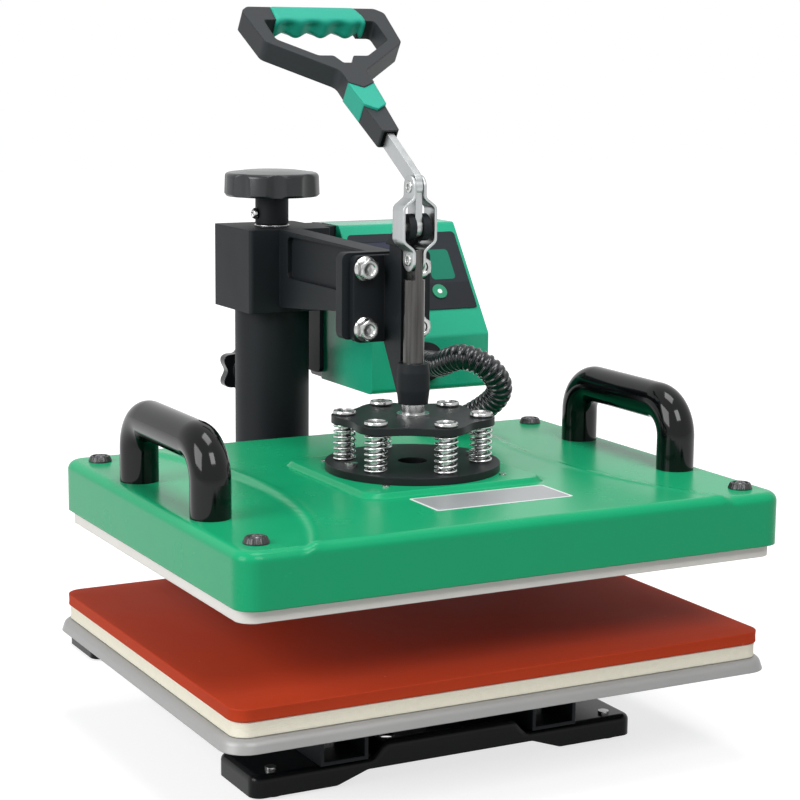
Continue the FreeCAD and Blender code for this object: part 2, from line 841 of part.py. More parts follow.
# Clamp bracket: flange plate, web, two ears for the lever pivot, and the guide barrel
plate_y = press_y + plate_front
plate = deep(rectangle(plate_half, plate_half_z, 0, plate_mid_z), plate_corner, plate_y, plate_back_y)
web_y = press_y + web_front
web_back_y = press_y + web_back
web_points = [(plate_y + 1, plate_bottom), (plate_y + 1, plate_top), (web_back_y, plate_top + 1)]
web_points += [(web_back_y, web_top), (web_y, web_top)]
web_points += [(web_y, guide_bottom + 2), (web_y + 3, guide_bottom + 2)]
web = across(web_points, 0, -web_half, web_half)
barrel_profile = [(0, guide_bottom), (guide_end_radius, guide_bottom)]
barrel_profile += [(guide_radius, guide_bottom + guide_belly_low)]
barrel_profile += [(guide_radius, guide_bottom + guide_belly_high), (guide_end_radius, guide_top)]
barrel_profile += [(0, guide_top)]
barrel = turned(barrel_profile, 0, press_y, 0)
bush_radius = rod_radius + running_gap + bush_wall
ear_bottom = pivot_b_z - ear_radius
ear_outer = ear_inner + ear_thickness
ears = []
for side in (-1, 1):
    x0 = min(side * ear_inner, side * ear_outer)
    round_end = rod(x0, press_y, pivot_b_z, ear_radius, ear_thickness, along_x)
    neck_side = [(press_y, ear_bottom), (web_y, ear_bottom), (web_y, web_top - 1), (web_back_y, web_top - 1)]
    neck_side += [(web_back_y, web_top), (press_y, pivot_b_z + ear_radius)]
    neck = across(neck_side, 0, x0, x0 + ear_thickness)
    ears.append(round_end.fuse(neck))
bracket = joined([plate, web, barrel] + ears)
bush_hole = rod(0, press_y, guide_bottom - 1, bush_radius + running_gap, guide_top - guide_bottom + 2)
bracket = bracket.cut(bush_hole)
bracket = bracket.cut(rod(-30, press_y, pivot_b_z, pivot_radius + running_gap, 60, along_x))
for x, z in bolt_spots:
    bracket = bracket.cut(rod(x, press_y, z, bracket_bolt_radius + bolt_gap, 80, along_y))
save("clamp_bracket", bracket)
bush = rod(0, press_y, guide_bottom, bush_radius, guide_top - guide_bottom)
save("guide_bush", bush.cut(rod(0, press_y, 0, rod_radius + running_gap, 400)))

bracket_bolts = []
for x, z in bolt_spots:
    flange_y = plate_y - bracket_bolt_flange
    flange = rod(x, flange_y, z, bracket_bolt_flange_radius, bracket_bolt_flange, along_y)
    head = hexagon(bracket_bolt_flats, x, flange_y, z, bracket_bolt_head, V(0, -1, 0))
    shank = rod(x, plate_y, z, bracket_bolt_radius, flange_back_y + bracket_nut + 1 - plate_y, along_y)
    bracket_bolts.append(joined([flange, head, shank]))
    nut = hexagon(bracket_bolt_flats, x, flange_back_y, z, bracket_nut, along_y)
    bracket_bolts.append(nut.cut(rod(x, press_y, z, bracket_bolt_radius + running_gap, 120, along_y)))
save("bracket_bolts", *bracket_bolts)

pin = rod(-ear_outer, press_y, pivot_b_z, pivot_radius, 2 * ear_outer, along_x)
for side in (-1, 1):
    start = ear_outer if side > 0 else -ear_outer - pivot_head
    pin = pin.fuse(rod(start, press_y, pivot_b_z, pivot_head_radius, pivot_head, along_x))
save("lever_pivot_pin", pin)

# Lever: a flat bar from the pivot through the link eye, then leaning back to the handle
lean = math.radians(lever_lean)
lever_frame = Placement(V(0, press_y, pivot_a_z), Rotation(along_x, lever_lean))


def lever_point(along, square):
    """(y, z) of a point given along the lever and square to it."""
    return (press_y + along * math.cos(lean) - square * math.sin(lean),
            pivot_a_z + along * math.sin(lean) + square * math.cos(lean))


def along_lever(points, radius, n0, n1):
    """Prism square to the lever's face, from (x, along) points."""
    prism = outline(points, radius, in_plan(n0)).extrude(V(0, 0, n1 - n0))
    prism.Placement = lever_frame
    return prism


elbow = (press_y, lever_point(0, lever_offset)[1] + math.tan(lean) * lever_offset * math.sin(lean))
bar = strap((press_y, pivot_b_z), elbow, lever_edge, -lever_half, lever_half)
bar = bar.fuse(strap(elbow, lever_point(lever_end, lever_offset), lever_edge, -lever_half, lever_half))
bar = bar.fuse(rod(-lever_half, press_y, pivot_b_z, lever_eye_radius, 2 * lever_half, along_x))
bar = bar.fuse(rod(-lever_half, press_y, pivot_a_z, lever_eye_radius, 2 * lever_half, along_x))
bar = bar.removeSplitter()
bar = bar.cut(rod(-10, press_y, pivot_b_z, pivot_radius + running_gap, 20, along_x))
bar = bar.cut(rod(-10, press_y, pivot_a_z, pivot_radius + running_gap, 20, along_x))
save("lever_bar", bar)

neck_points = [(-neck_start_half, neck_start), (neck_start_half, neck_start)]
neck_points += [(neck_end_half, neck_band_start)]
neck_points += [(0, neck_band_start - neck_chevron), (-neck_end_half, neck_band_start)]
neck = along_lever(neck_points, [neck_corner, neck_corner, 0, 0, 0], neck_low, neck_high)
band_points = [(-band_start_half, neck_band_start), (0, neck_band_start - neck_chevron)]
band_points += [(band_start_half, neck_band_start), (band_end_half, neck_band_end)]
band_points += [(0, neck_band_end - neck_chevron), (-band_end_half, neck_band_end)]
band = along_lever(band_points, 0, band_low, band_high)
save("neck_sleeve", neck.cut(band).cut(bar))
save("neck_band", band.cut(bar))

frame_right = [(frame_stem_half, neck_band_end), (frame_stem_half, frame_stem_end)]
frame_right += [(frame_shoulder_half, frame_shoulder_l), (frame_top_half, frame_top_l)]
frame_right += [(frame_end_half, frame_end_l)]
frame_points = frame_right + [(-x, along) for x, along in reversed(frame_right)]
frame_points += [(0, neck_band_end - neck_chevron)]
frame_radii = [0, 8, 7, 5, 5, 5, 5, 7, 8, 0, 0]
frame = along_lever(frame_points, frame_radii, frame_low, frame_high)
opening_right = [(opening_notch_half, opening_notch_l), (opening_notch_top, opening_low_l)]
opening_right += [(opening_low_half, opening_low_l), (opening_top_half, opening_side_l)]
opening_right += [(opening_top_half, opening_top_l)]
opening_points = opening_right + [(-x, along) for x, along in reversed(opening_right)]
opening_radii = [2, 2.5, 5, 5, 3, 3, 5, 5, 2.5, 2]
opening = along_lever(opening_points, opening_radii, frame_low - 1, frame_high + 1)
grip_gap = along_lever(rectangle(grip_half, frame_top_bar, 0, frame_end_l), 0, frame_low - 1, frame_high + 1)
wave_length = 2 * grip_half / grip_waves
grip_outer_l = grip_l + grip_radius
grip_inner_l = grip_l - grip_radius
grip_edges = [Part.makeLine(V(-grip_half, grip_inner_l, 0), V(-grip_half, grip_outer_l, 0))]
grip_edges.append(Part.makeLine(V(-grip_half, grip_outer_l, 0), V(grip_half, grip_outer_l, 0)))
grip_edges.append(Part.makeLine(V(grip_half, grip_outer_l, 0), V(grip_half, grip_inner_l, 0)))
for i in range(grip_waves):
    left = -grip_half + i * wave_length
    dip = V(left + wave_length / 2, grip_inner_l + grip_wave_depth, 0)
    wave = Part.Arc(V(left, grip_inner_l, 0), dip, V(left + wave_length, grip_inner_l, 0))
    grip_edges.append(wave.toShape())
grip_face = Part.Face(Part.Wire(Part.__sortEdges__(grip_edges)))
grip = grip_face.extrude(V(0, 0, 2 * grip_radius)).translated(V(0, 0, grip_n - grip_radius))
grip = grip.common(rod(-grip_half, grip_l, grip_n, grip_radius + 0.5, 2 * grip_half, along_x))
core = Part.makeBox(2 * grip_half, 2 * grip_core_half, 2 * grip_core_half,
                    V(-grip_half, grip_l - grip_core_half, grip_n - grip_core_half))
grip = grip.cut(core)
grip.Placement = lever_frame
core.Placement = lever_frame
frame = frame.cut(opening).cut(grip_gap).fuse(core).removeSplitter().cut(bar)
save("handle_frame", frame)
save("handle_grip", grip)

# Links: two strips, narrow at both eyes and set out in the middle to pass round the pivot ears
low_z = pivot_c_z
high_z = pivot_a_z
link_points = [(link_inner, low_z - link_end_radius - 1), (link_inner, low_z + link_neck_bottom)]
link_points += [(link_wide, low_z + link_shoulder_bottom), (link_wide, high_z - link_shoulder_top)]
link_points += [(link_inner, high_z - link_neck_top), (link_inner, high_z + link_end_radius + 1)]
skew = link_sheet * link_skew
outer_side = [(link_inner + link_sheet, high_z + link_end_radius + 1)]
outer_side += [(link_inner + link_sheet, high_z - link_neck_top + skew)]
outer_side += [(link_wide + link_sheet, high_z - link_shoulder_top + skew)]
outer_side += [(link_wide + link_sheet, low_z + link_shoulder_bottom - skew)]
outer_side += [(link_inner + link_sheet, low_z + link_neck_bottom - skew)]
outer_side += [(link_inner + link_sheet, low_z - link_end_radius - 1)]
link = deep(link_points + outer_side, 0, press_y - link_depth / 2, press_y + link_depth / 2)
link = link.common(strap((press_y, low_z), (press_y, high_z), link_end_radius, 0, link_wide + link_sheet + 1))
link = link.cut(rod(0, press_y, high_z, pivot_radius + running_gap, 20, along_x))
link = link.cut(rod(0, press_y, low_z, pivot_radius + running_gap, 20, along_x))
save("toggle_link_right", link)
save("toggle_link_left", mirrored(link))

link_outer = link_inner + link_sheet
top_pin = rod(-link_outer, press_y, pivot_a_z, pivot_radius, 2 * link_outer, along_x)
for start in (link_outer, -link_outer - link_head):
    top_pin = top_pin.fuse(rod(start, press_y, pivot_a_z, link_head_radius, link_head, along_x))
save("link_pin_top", top_pin)
rivet = rod(link_inner, press_y, pivot_c_z, pivot_radius, link_sheet, along_x)
rivet = rivet.fuse(rod(link_outer, press_y, pivot_c_z, link_head_radius, link_head, along_x))
save("link_rivets", rivet, mirrored(rivet))

# Plunger: rod with a flat tongue, collar, spider plate and its nut
shoulder_z = pivot_c_z - tongue_drop
plunger = rod(0, press_y, spider_top, rod_radius, shoulder_z - spider_top)
tongue = rod(0, press_y, shoulder_z, rod_radius, tongue_drop + tongue_rise)
tongue = tongue.common(box(-tongue_half, tongue_half, press_y - 20, press_y + 20, shoulder_z, pivot_a_z))
stub_bottom = spider_bottom - plunger_nut_height - 2
stub = rod(0, press_y, stub_bottom, stub_radius, spider_top - stub_bottom)
plunger = joined([plunger, tongue, stub])
plunger = plunger.cut(rod(-20, press_y, pivot_c_z, pivot_radius + running_gap, 40, along_x))
save("plunger_rod", plunger)
plunger_pin = rod(-tongue_half, press_y, pivot_c_z, pivot_radius, 2 * tongue_half, along_x)
ring = rod(0, press_y, spider_top, sleeve_flange_radius, sleeve_flange)
ring = ring.fuse(rod(0, press_y, spider_top + sleeve_flange, sleeve_ring_radius, sleeve_ring_height))
ring = ring.cut(rod(0, press_y, 0, rod_radius + running_gap, 400))
plunger_nut = hexagon(plunger_nut_flats, 0, press_y, spider_bottom - plunger_nut_height, plunger_nut_height)
plunger_nut = plunger_nut.cut(rod(0, press_y, 0, stub_radius + running_gap, 400))
save("plunger_fittings", ring, plunger_nut, plunger_pin)

bolt_angles = [math.radians(30 + 360 / spider_bolt_count * i) for i in range(spider_bolt_count)]
spider_spots = [(spider_bolt_circle * math.cos(angle), press_y + spider_bolt_circle * math.sin(angle))
                for angle in bolt_angles]
spider = lobed(spider_radius, spider_lobe, spider_bolt_count, 30,
               lambda u, v: V(u, press_y + v, spider_bottom)).extrude(V(0, 0, spider_thickness))
spider = spider.cut(rod(0, press_y, 0, stub_radius + running_gap, 400))
for x, y in spider_spots:
    spider = spider.cut(rod(x, y, 0, spider_bolt_radius + bolt_gap, 400))
save("spider_plate", spider)

# Spider bolts: screwed into the disc, they slide up through the spider when the springs give
disc = rod(0, press_y, square_top, disc_radius, disc_thickness)
disc = disc.cut(rod(0, press_y, 0, disc_hole_radius, 400))
spider_bolts = []
for x, y in spider_spots:
    disc = disc.cut(rod(x, y, 0, spider_bolt_radius + running_gap, 400))
    shank = rod(x, y, square_top, spider_bolt_radius, spider_top - square_top)
    head = rod(x, y, spider_top, spider_bolt_head_radius, spider_bolt_head)
    spider_bolts.append(shank.fuse(head))
disc_screw_spots = [(-disc_screw_circle, press_y), (disc_screw_circle, press_y)]
for x, y in disc_screw_spots:
    disc = disc.cut(rod(x, y, 0, disc_screw_radius + bolt_gap, 400))
save("mount_disc", disc)
save("spider_bolts", *spider_bolts)


# Springs: each an open coil round its bolt, its two ends turned square to the plates
def two_arcs(start, start_way, end, end_way):
    """Two arcs that leave the start and reach the end in the given directions."""
    chord = end - start
    both = start_way + end_way
    a = 2 * (1 - start_way.dot(end_way))
    b = chord.dot(both)
    reach = (-b + math.sqrt(b * b + a * chord.dot(chord))) / a
    first = start + start_way * reach
    second = end - end_way * reach
    join = (first + second) * 0.5
    return [arc_to(start, first, join), arc_to(join, second, end)]


def arc_to(start, corner, end):
    """Arc from start to end whose end tangents meet at the corner."""
    middle = (start + end) * 0.5
    half = (end - start).Length / 2
    rise = corner - middle
    turn = math.atan2(rise.Length, half)
    rise.normalize()
    return Part.Arc(start, middle + rise * (half * math.tan(turn / 2)), end)


def spring(x, y, z0, length, coil_radius, wire, turns):
    """Helix of quarter turns, with a straight wire of one diameter at each end, square to its seat."""
    end_bend = 1.3 * wire
    low = z0 + wire + end_bend
    high = z0 + length - wire - end_bend
    steps = int(round(turns * 4))
    rise = (high - low) / steps
    nodes = []
    for i in range(steps + 1):
        angle = math.pi / 2 * i
        point = V(x + coil_radius * math.cos(angle), y + coil_radius * math.sin(angle), low + rise * i)
        way = V(-coil_radius * math.sin(angle), coil_radius * math.cos(angle), rise / (math.pi / 2))
        way.normalize()
        nodes.append((point, way))
    first, first_way = nodes[0]
    last, last_way = nodes[-1]
    seat = V(first.x, first.y, low - end_bend) - V(first_way.x, first_way.y, 0) * end_bend
    cap = V(last.x, last.y, high + end_bend) + V(last_way.x, last_way.y, 0) * end_bend
    up = V(0, 0, 1)
    edges = [Part.makeLine(seat - up * wire, seat)]
    nodes = [(seat, up)] + nodes + [(cap, up)]
    for (p, p_way), (q, q_way) in zip(nodes, nodes[1:]):
        edges += [arc.toShape() for arc in two_arcs(p, p_way, q, q_way)]
    edges.append(Part.makeLine(cap, cap + up * wire))
    path = Part.Wire(edges)
    section = Part.Wire(Part.makeCircle(wire / 2, seat - up * wire, up))
    return path.makePipeShell([section], True, False), rise * 4 - wire


coil_radius = spring_outer_radius - spring_wire / 2
springs = []
for x, y in spider_spots:
    coil, coil_gap = spring(x, y, disc_top, spring_length, coil_radius, spring_wire, spring_turns)
    springs.append(coil)
print("spring: least gap between turns", round(coil_gap, 2))
save("pressure_springs", *springs)


# Platen cover: a pressed sheet shell, its ends a step lower, with a raised square under the disc
def cover_form(wall, low):
    """Outer form of the cover drawn in by the wall."""
    width = cover_width - 2 * wall
    depth = cover_depth - 2 * wall
    top = cover_top - wall
    ends = slab(width, depth, cover_corner - wall, low, top - cover_end_drop, 0, press_y)
    whole = slab(width, depth, cover_corner - wall, low, top, 0, press_y)
    edge_radius = max(cover_edge_radius - wall, 1.0)
    ends = round_top(ends, edge_radius)
    whole = round_top(whole, edge_radius)
    front = press_y - cover_depth / 2 - 1
    back = press_y + cover_depth / 2 + 1
    middle = press_y + cover_arc_middle_y
    z = low - 1
    right = Part.Arc(V(cover_arc_front_x - wall, front, z), V(cover_arc_middle_x - wall, middle, z),
                     V(cover_arc_back_x - wall, back, z)).toShape()
    left = mirrored(right)
    near = Part.makeLine(V(wall - cover_arc_front_x, front, z), V(cover_arc_front_x - wall, front, z))
    far = Part.makeLine(V(wall - cover_arc_back_x, back, z), V(cover_arc_back_x - wall, back, z))
    between = Part.Face(Part.Wire(Part.__sortEdges__([right, far, left, near])))
    between = between.extrude(V(0, 0, cover_height + 10))
    square_x = 2 * (cover_square_half_x - wall)
    square_y = 2 * (cover_square_half_y - wall)
    square = slab(square_x, square_y, cover_square_corner - wall, low, square_top - wall, 0, press_y)
    return joined([ends, whole.common(between), square])


gland_way = V(*hose_foot_direction)
gland_way.normalize()
cover_end_top = cover_top - cover_end_drop
gland_seat_z = cover_top
standoff_spots = [(sx * corner_screw_x, press_y + sy * corner_screw_y) for sx in (-1, 1) for sy in (-1, 1)]
rivet_spots = [(sx * rivet_x, press_y + sy * rivet_y) for sx in (-1, 1) for sy in (-1, 1)]
handle_spots = [(sx * handle_x, press_y + sy * handle_foot_y) for sx in (-1, 1) for sy in (-1, 1)]
cover = cover_form(0, cover_bottom).cut(cover_form(cover_sheet, cover_bottom - 5))
for x, y in standoff_spots:
    cover = cover.cut(rod(x, y, 0, cover_screw_radius + bolt_gap, 400))
for x, y in handle_spots:
    cover = cover.cut(rod(x, y, 0, handle_screw_radius + bolt_gap, 400))
for x, y in disc_screw_spots:
    cover = cover.cut(rod(x, y, 0, disc_screw_radius + bolt_gap, 400))
for x, y in rivet_spots:
    cover = cover.cut(rod(x, y, 0, rivet_radius / 2 + running_gap, 400))
cover = cover.cut(rod(hose_foot_x, press_y + hose_foot_y, 0, hose_bore_radius, 400))
save("platen_cover", cover)

# Stand-offs between the cover and the heat plate, and the screws that pull the cover down on them
low_standoffs = [(x, y, cover_end_top - cover_sheet) for x, y in standoff_spots]
low_standoffs += [(x, y, square_top - cover_sheet) for x, y in disc_screw_spots]
standoffs = []
for x, y, top in low_standoffs:
    post_radius = disc_screw_radius if top > cover_top else cover_screw_radius
    standoff = rod(x, y, heat_top, standoff_radius, top - heat_top)
    standoffs.append(standoff.cut(rod(x, y, top - screw_engagement - 1, post_radius + running_gap, 60)))
cups = []
cover_screws = []
for x, y in standoff_spots:
    cup = turned([(0, 0), (cup_radius, 0), (cup_radius, 0.8), (cup_top_radius, cup_height), (0, cup_height)],
                 x, y, cover_end_top)
    seat = cover_end_top + cup_height - cover_screw_head
    cup = cup.cut(rod(x, y, 0, cover_screw_radius + bolt_gap, 400))
    cups.append(cup.cut(rod(x, y, seat, cover_screw_head_radius + bolt_gap, 10)))
    shank_bottom = cover_end_top - cover_sheet - screw_engagement
    shank = rod(x, y, shank_bottom, cover_screw_radius, seat - shank_bottom)
    cover_screws.append(shank.fuse(rod(x, y, seat, cover_screw_head_radius, cover_screw_head)))
save("cover_screws", *cups, *cover_screws)
disc_screws = []
for x, y in disc_screw_spots:
    shank_bottom = square_top - cover_sheet - screw_engagement
    shank = rod(x, y, shank_bottom, disc_screw_radius, disc_top - shank_bottom)
    disc_screws.append(shank.fuse(rod(x, y, disc_top, disc_screw_head_radius, disc_screw_head)))
rivets = []
for x, y in rivet_spots:
    stem = rod(x, y, square_top - 2 * cover_sheet, rivet_radius / 2, 2 * cover_sheet)
    rivets.append(stem.fuse(rod(x, y, square_top, rivet_radius, rivet_head)))

# Heat plate with its element and insulation
save("heat_plate", slab(heat_plate_width, heat_plate_depth, heat_plate_corner, plate_z, heat_top, 0, press_y))
element_top = heat_top + element_thickness
element = slab(heat_plate_width - 2 * element_inset, heat_plate_depth - 2 * element_inset, 6,
               heat_top, element_top, 0, press_y)
insulation = slab(heat_plate_width - 2 * insulation_inset, heat_plate_depth - 2 * insulation_inset, 6,
                  element_top, element_top + insulation_thickness, 0, press_y)
for x, y in standoff_spots + disc_screw_spots:
    element = element.cut(rod(x, y, 0, standoff_radius + bolt_gap, 400))
    insulation = insulation.cut(rod(x, y, 0, standoff_radius + bolt_gap, 400))
save("heater_pack", element, insulation)


# Carry handles: round plastic bows, one at each end of the cover
def bow(x):
    z0 = cover_end_top
    z1 = cover_end_top + handle_height - handle_radius
    y0 = press_y - handle_foot_y
    y1 = press_y + handle_foot_y
    bend = handle_bend
    near = bend * (1 - math.sqrt(0.5))
    edges = [Part.makeLine(V(x, y0, z0), V(x, y0, z1 - bend))]
    edges.append(Part.Arc(V(x, y0, z1 - bend), V(x, y0 + near, z1 - near), V(x, y0 + bend, z1)).toShape())
    edges.append(Part.makeLine(V(x, y0 + bend, z1), V(x, y1 - bend, z1)))
    edges.append(Part.Arc(V(x, y1 - bend, z1), V(x, y1 - near, z1 - near), V(x, y1, z1 - bend)).toShape())
    edges.append(Part.makeLine(V(x, y1, z1 - bend), V(x, y1, z0)))
    section = Part.Wire(Part.makeCircle(handle_radius, V(x, y0, z0), V(0, 0, 1)))
    handle = Part.Wire(edges).makePipeShell([section], True, False)
    for y in (y0, y1):
        handle = handle.cut(rod(x, y, z0 - 1, handle_screw_radius + running_gap, handle_screw_depth + 2))
    return handle


save("carry_handle_left", bow(-handle_x))
save("carry_handle_right", bow(handle_x))
handle_screws = []
under_cover = cover_end_top - cover_sheet
for x, y in handle_spots:
    head = rod(x, y, under_cover - handle_screw_head, handle_screw_head_radius, handle_screw_head)
    handle_screws.append(head.fuse(rod(x, y, under_cover, handle_screw_radius, handle_screw_depth)))
save("platen_fixings", *standoffs, *disc_screws, *rivets, *handle_screws)

# Pressure knob with its sleeve, washer and set screw
knob_washer = rod(0, column_y, hub_top, knob_washer_radius, knob_washer_height)
knob_washer = knob_washer.cut(rod(0, column_y, 0, spindle_radius + running_gap, 500))
sleeve_z = hub_top + knob_washer_height
sleeve = rod(0, column_y, sleeve_z, knob_sleeve_radius, knob_sleeve_height)
sleeve = sleeve.cut(rod(0, column_y, 0, spindle_radius + running_gap, 500))
screw_z = sleeve_z + set_screw_rise
to_left = V(-1, 0, 0)
screw_hole = rod(0, column_y, screw_z, set_screw_radius + running_gap, 40, to_left)
sleeve = sleeve.cut(screw_hole)
screw_reach = knob_sleeve_radius - spindle_radius
set_screw = rod(-spindle_radius - running_gap, column_y, screw_z, set_screw_radius, screw_reach, to_left)
set_screw_cap = rod(-knob_sleeve_radius, column_y, screw_z, set_screw_head_radius, set_screw_head, to_left)
set_screw = set_screw.fuse(set_screw_cap)
save("knob_fittings", sleeve, knob_washer, set_screw)
knob_face = lobed(knob_radius, knob_lobe, knob_lobes, 0, lambda u, v: V(u, column_y + v, knob_bottom))
knob_body = knob_face.extrude(V(0, 0, knob_height))
crown_radius = ((knob_radius + 2) ** 2 + knob_crown ** 2) / (2 * knob_crown)
crown = Part.makeSphere(crown_radius, V(0, column_y, knob_bottom + knob_height - crown_radius))
knob_body = knob_body.common(crown)
save("pressure_knob", knob_body.cut(rod(0, column_y, 0, spindle_radius + running_gap, spindle_top)))

# Control box: sloping green shell, black back, bracket to the hub
front_y = column_y - box_front_offset
split_y = column_y + box_split_offset
back_y = column_y + box_back_offset
slope_top_y = column_y - box_top_offset
box_top = hub_top
shell_points = [(split_y, box_bottom), (front_y, box_bottom), (front_y, box_nose_top), (slope_top_y, box_top)]
shell_points += [(split_y, box_top)]
shell_radii = [0, box_round, box_round, box_round, 0]
shell = across(shell_points, shell_radii, box_left, box_right)
hollow_face = outline(shell_points, shell_radii, in_side_view(box_left + box_wall)).makeOffset2D(-box_wall)
hollow = hollow_face.extrude(V(box_right - box_left - 2 * box_wall, 0, 0))
mouth = box(box_left + box_wall, box_right - box_wall, split_y - box_wall - 1, split_y + 1,
            box_bottom + box_wall, box_top - box_wall)
shell = shell.cut(hollow.fuse(mouth))
slope_angle = math.degrees(math.atan2(box_top - box_nose_top, slope_top_y - front_y))
slope_frame = Placement(V(0, front_y, box_nose_top), Rotation(along_x, slope_angle))
screw_spots = [(x, z) for x in (box_left + box_screw_inset, box_right - box_screw_inset)
               for z in (box_bottom + box_screw_inset, box_top - box_screw_inset)]
whole_box = across(shell_points, shell_radii, box_left, box_right)
bosses = []
for x, z in screw_spots:
    boss = rod(x, split_y - box_boss_length, z, box_boss_radius, box_boss_length, along_y)
    bosses.append(boss.common(whole_box))
shell = joined([shell] + bosses)
for x, z in screw_spots:
    shell = shell.cut(rod(x, split_y - box_screw_bite - 1, z, box_screw_radius + running_gap, 60, along_y))


def on_slope(points, radius, w0, w1):
    """Prism square to the sloping front, from (x, distance up the slope) points."""
    prism = outline(points, radius, in_plan(w0)).extrude(V(0, 0, w1 - w0))
    prism.Placement = slope_frame
    return prism


def slope_rod(x, v, w, radius, length):
    cylinder = Part.makeCylinder(radius, length, V(x, v, w), V(0, 0, 1))
    cylinder.Placement = slope_frame
    return cylinder


board_top = -board_depth + board_thickness
board_left = panel_left + 3
board_right = panel_right - 3
board_low = panel_start + 2.5
board_high = panel_end - 2
board_posts = [(x, v) for x in (board_left + 4, board_right - 4) for v in (board_low + 3, board_high - 3)]
posts = [slope_rod(x, v, board_top, board_post_radius, -box_wall - board_top + 0.5) for x, v in board_posts]
shell = joined([shell] + posts)
panel_points = [(panel_left, panel_start), (panel_right, panel_start), (panel_right, panel_end)]
panel_points += [(panel_left, panel_end)]
panel = on_slope(panel_points, 3, 0, panel_thickness)
display_points = [(display_left, display_low), (display_right, display_low), (display_right, display_high)]
display_points += [(display_left, display_high)]
glass = on_slope(display_points, 1.5, -box_wall, panel_thickness - 0.2)
module = on_slope([(display_left + 2, display_low + 2), (display_right - 2, display_low + 2),
                   (display_right - 2, display_high - 2), (display_left + 2, display_high - 2)], 0,
                  board_top, -box_wall - display_gap)
display_hole = [(display_left - running_gap, display_low - running_gap),
                (display_right + running_gap, display_low - running_gap),
                (display_right + running_gap, display_high + running_gap),
                (display_left - running_gap, display_high + running_gap)]
display_cut = on_slope(display_hole, 1.5, -box_wall - 1, panel_thickness + 1)
shell = shell.cut(display_cut)
panel = panel.cut(display_cut)
board = on_slope([(board_left, board_low), (board_right, board_low), (board_right, board_high),
                  (board_left, board_high)], 1, -board_depth, board_top)
keys = []
switches = []
key_stack = box_wall + key_flange + key_travel + seat_gap
for x in key_x:
    hole = slope_rod(x, key_row, -box_wall - 1, key_radius + key_gap, box_wall + panel_thickness + 2)
    shell = shell.cut(hole)
    panel = panel.cut(hole)
    key_foot = -box_wall - key_flange
    cap = slope_rod(x, key_row, key_foot, key_radius, panel_thickness + key_proud - key_foot)
    keys.append(cap.fuse(slope_rod(x, key_row, key_foot, key_flange_radius, key_flange)))
    switches.append(on_slope(rectangle(3, 3, x, key_row), 0, board_top, -key_stack))
board_screws = []
for x, v in board_posts:
    hole = slope_rod(x, v, -board_depth - 1, board_screw_radius + running_gap, board_depth - 1)
    board = board.cut(hole)
    shell = shell.cut(hole)
    head = slope_rod(x, v, -board_depth - board_screw_head, board_screw_head_radius, board_screw_head)
    board_screws.append(head.fuse(slope_rod(x, v, -board_depth, board_screw_radius, board_depth - 2.5)))
shell = shell.cut(rod(gland_x, front_y - 5, gland_z, hose_bore_radius, 20, along_y))
for y, z in box_bolt_spots:
    shell = shell.cut(rod(0, y, z, box_bolt_radius + bolt_gap, box_left + 20, along_x))
save("box_shell", shell)
save("membrane_panel", panel)
save("display_window", glass)
save("circuit_board", board, module, *switches)
for name, key in zip(("key_left", "key_middle", "key_right"), keys):
    save(name, key)

cover_rim = box_back_inset
back_points = [(split_y, box_bottom + cover_rim), (back_y, box_bottom + cover_rim)]
back_points += [(back_y, box_top - cover_rim), (split_y, box_top - cover_rim)]
back_radii = [0, box_round, box_round, 0]
back = across(back_points, back_radii, box_left + cover_rim, box_right - cover_rim)
back = back.cut(box(box_left + cover_rim + box_wall, box_right - cover_rim - box_wall, split_y - 1,
                    back_y - box_wall, box_bottom + cover_rim + box_wall, box_top - cover_rim - box_wall))
back_whole = across(back_points, back_radii, box_left + cover_rim, box_right - cover_rim)
back_bosses = []
for x, z in screw_spots:
    back_boss = rod(x, split_y, z, box_boss_radius, back_y - split_y - 1, along_y)
    back_bosses.append(back_boss.common(back_whole))
back = joined([back] + back_bosses)
box_screws = []
for x, z in screw_spots:
    back = back.cut(rod(x, split_y - 1, z, box_screw_radius + bolt_gap, 60, along_y))
    back = back.cut(rod(x, back_y - box_screw_head, z, box_screw_head_radius + bolt_gap, 10, along_y))
    start = split_y - box_screw_bite
    shank = rod(x, start, z, box_screw_radius, back_y - box_screw_head - start, along_y)
    head = rod(x, back_y - box_screw_head, z, box_screw_head_radius, box_screw_head, along_y)
    box_screws.append(shank.fuse(head))

# Mains inlet and power switch in the back of the box
inlet_hole = rectangle(inlet_half_x + bolt_gap, inlet_half_z + bolt_gap, inlet_x, inlet_z)
back = back.cut(deep(inlet_hole, inlet_corner, back_y - 5, back_y + 5))
inlet = rectangle(inlet_half_x, inlet_half_z, inlet_x, inlet_z)
inlet = deep(inlet, inlet_corner, back_y - inlet_depth, back_y)
inlet_rim = rectangle(inlet_half_x + inlet_flange, inlet_half_z + inlet_flange / 2, inlet_x, inlet_z)
inlet = inlet.fuse(deep(inlet_rim, inlet_corner, back_y, back_y + inlet_flange_thickness))
socket_floor = back_y + inlet_flange_thickness - inlet_socket_depth
socket_cut = deep(rectangle(inlet_half_x - inlet_wall, inlet_half_z - inlet_wall, inlet_x, inlet_z), 2,
                  socket_floor, back_y + 5)
inlet = inlet.cut(socket_cut)
blades = []
for dx, dz in blade_spots:
    blade = rectangle(blade_half_x, blade_half_z, inlet_x + dx, inlet_z + dz)
    blades.append(deep(blade, 0, socket_floor, socket_floor + blade_length))
inlet = joined([inlet] + blades)

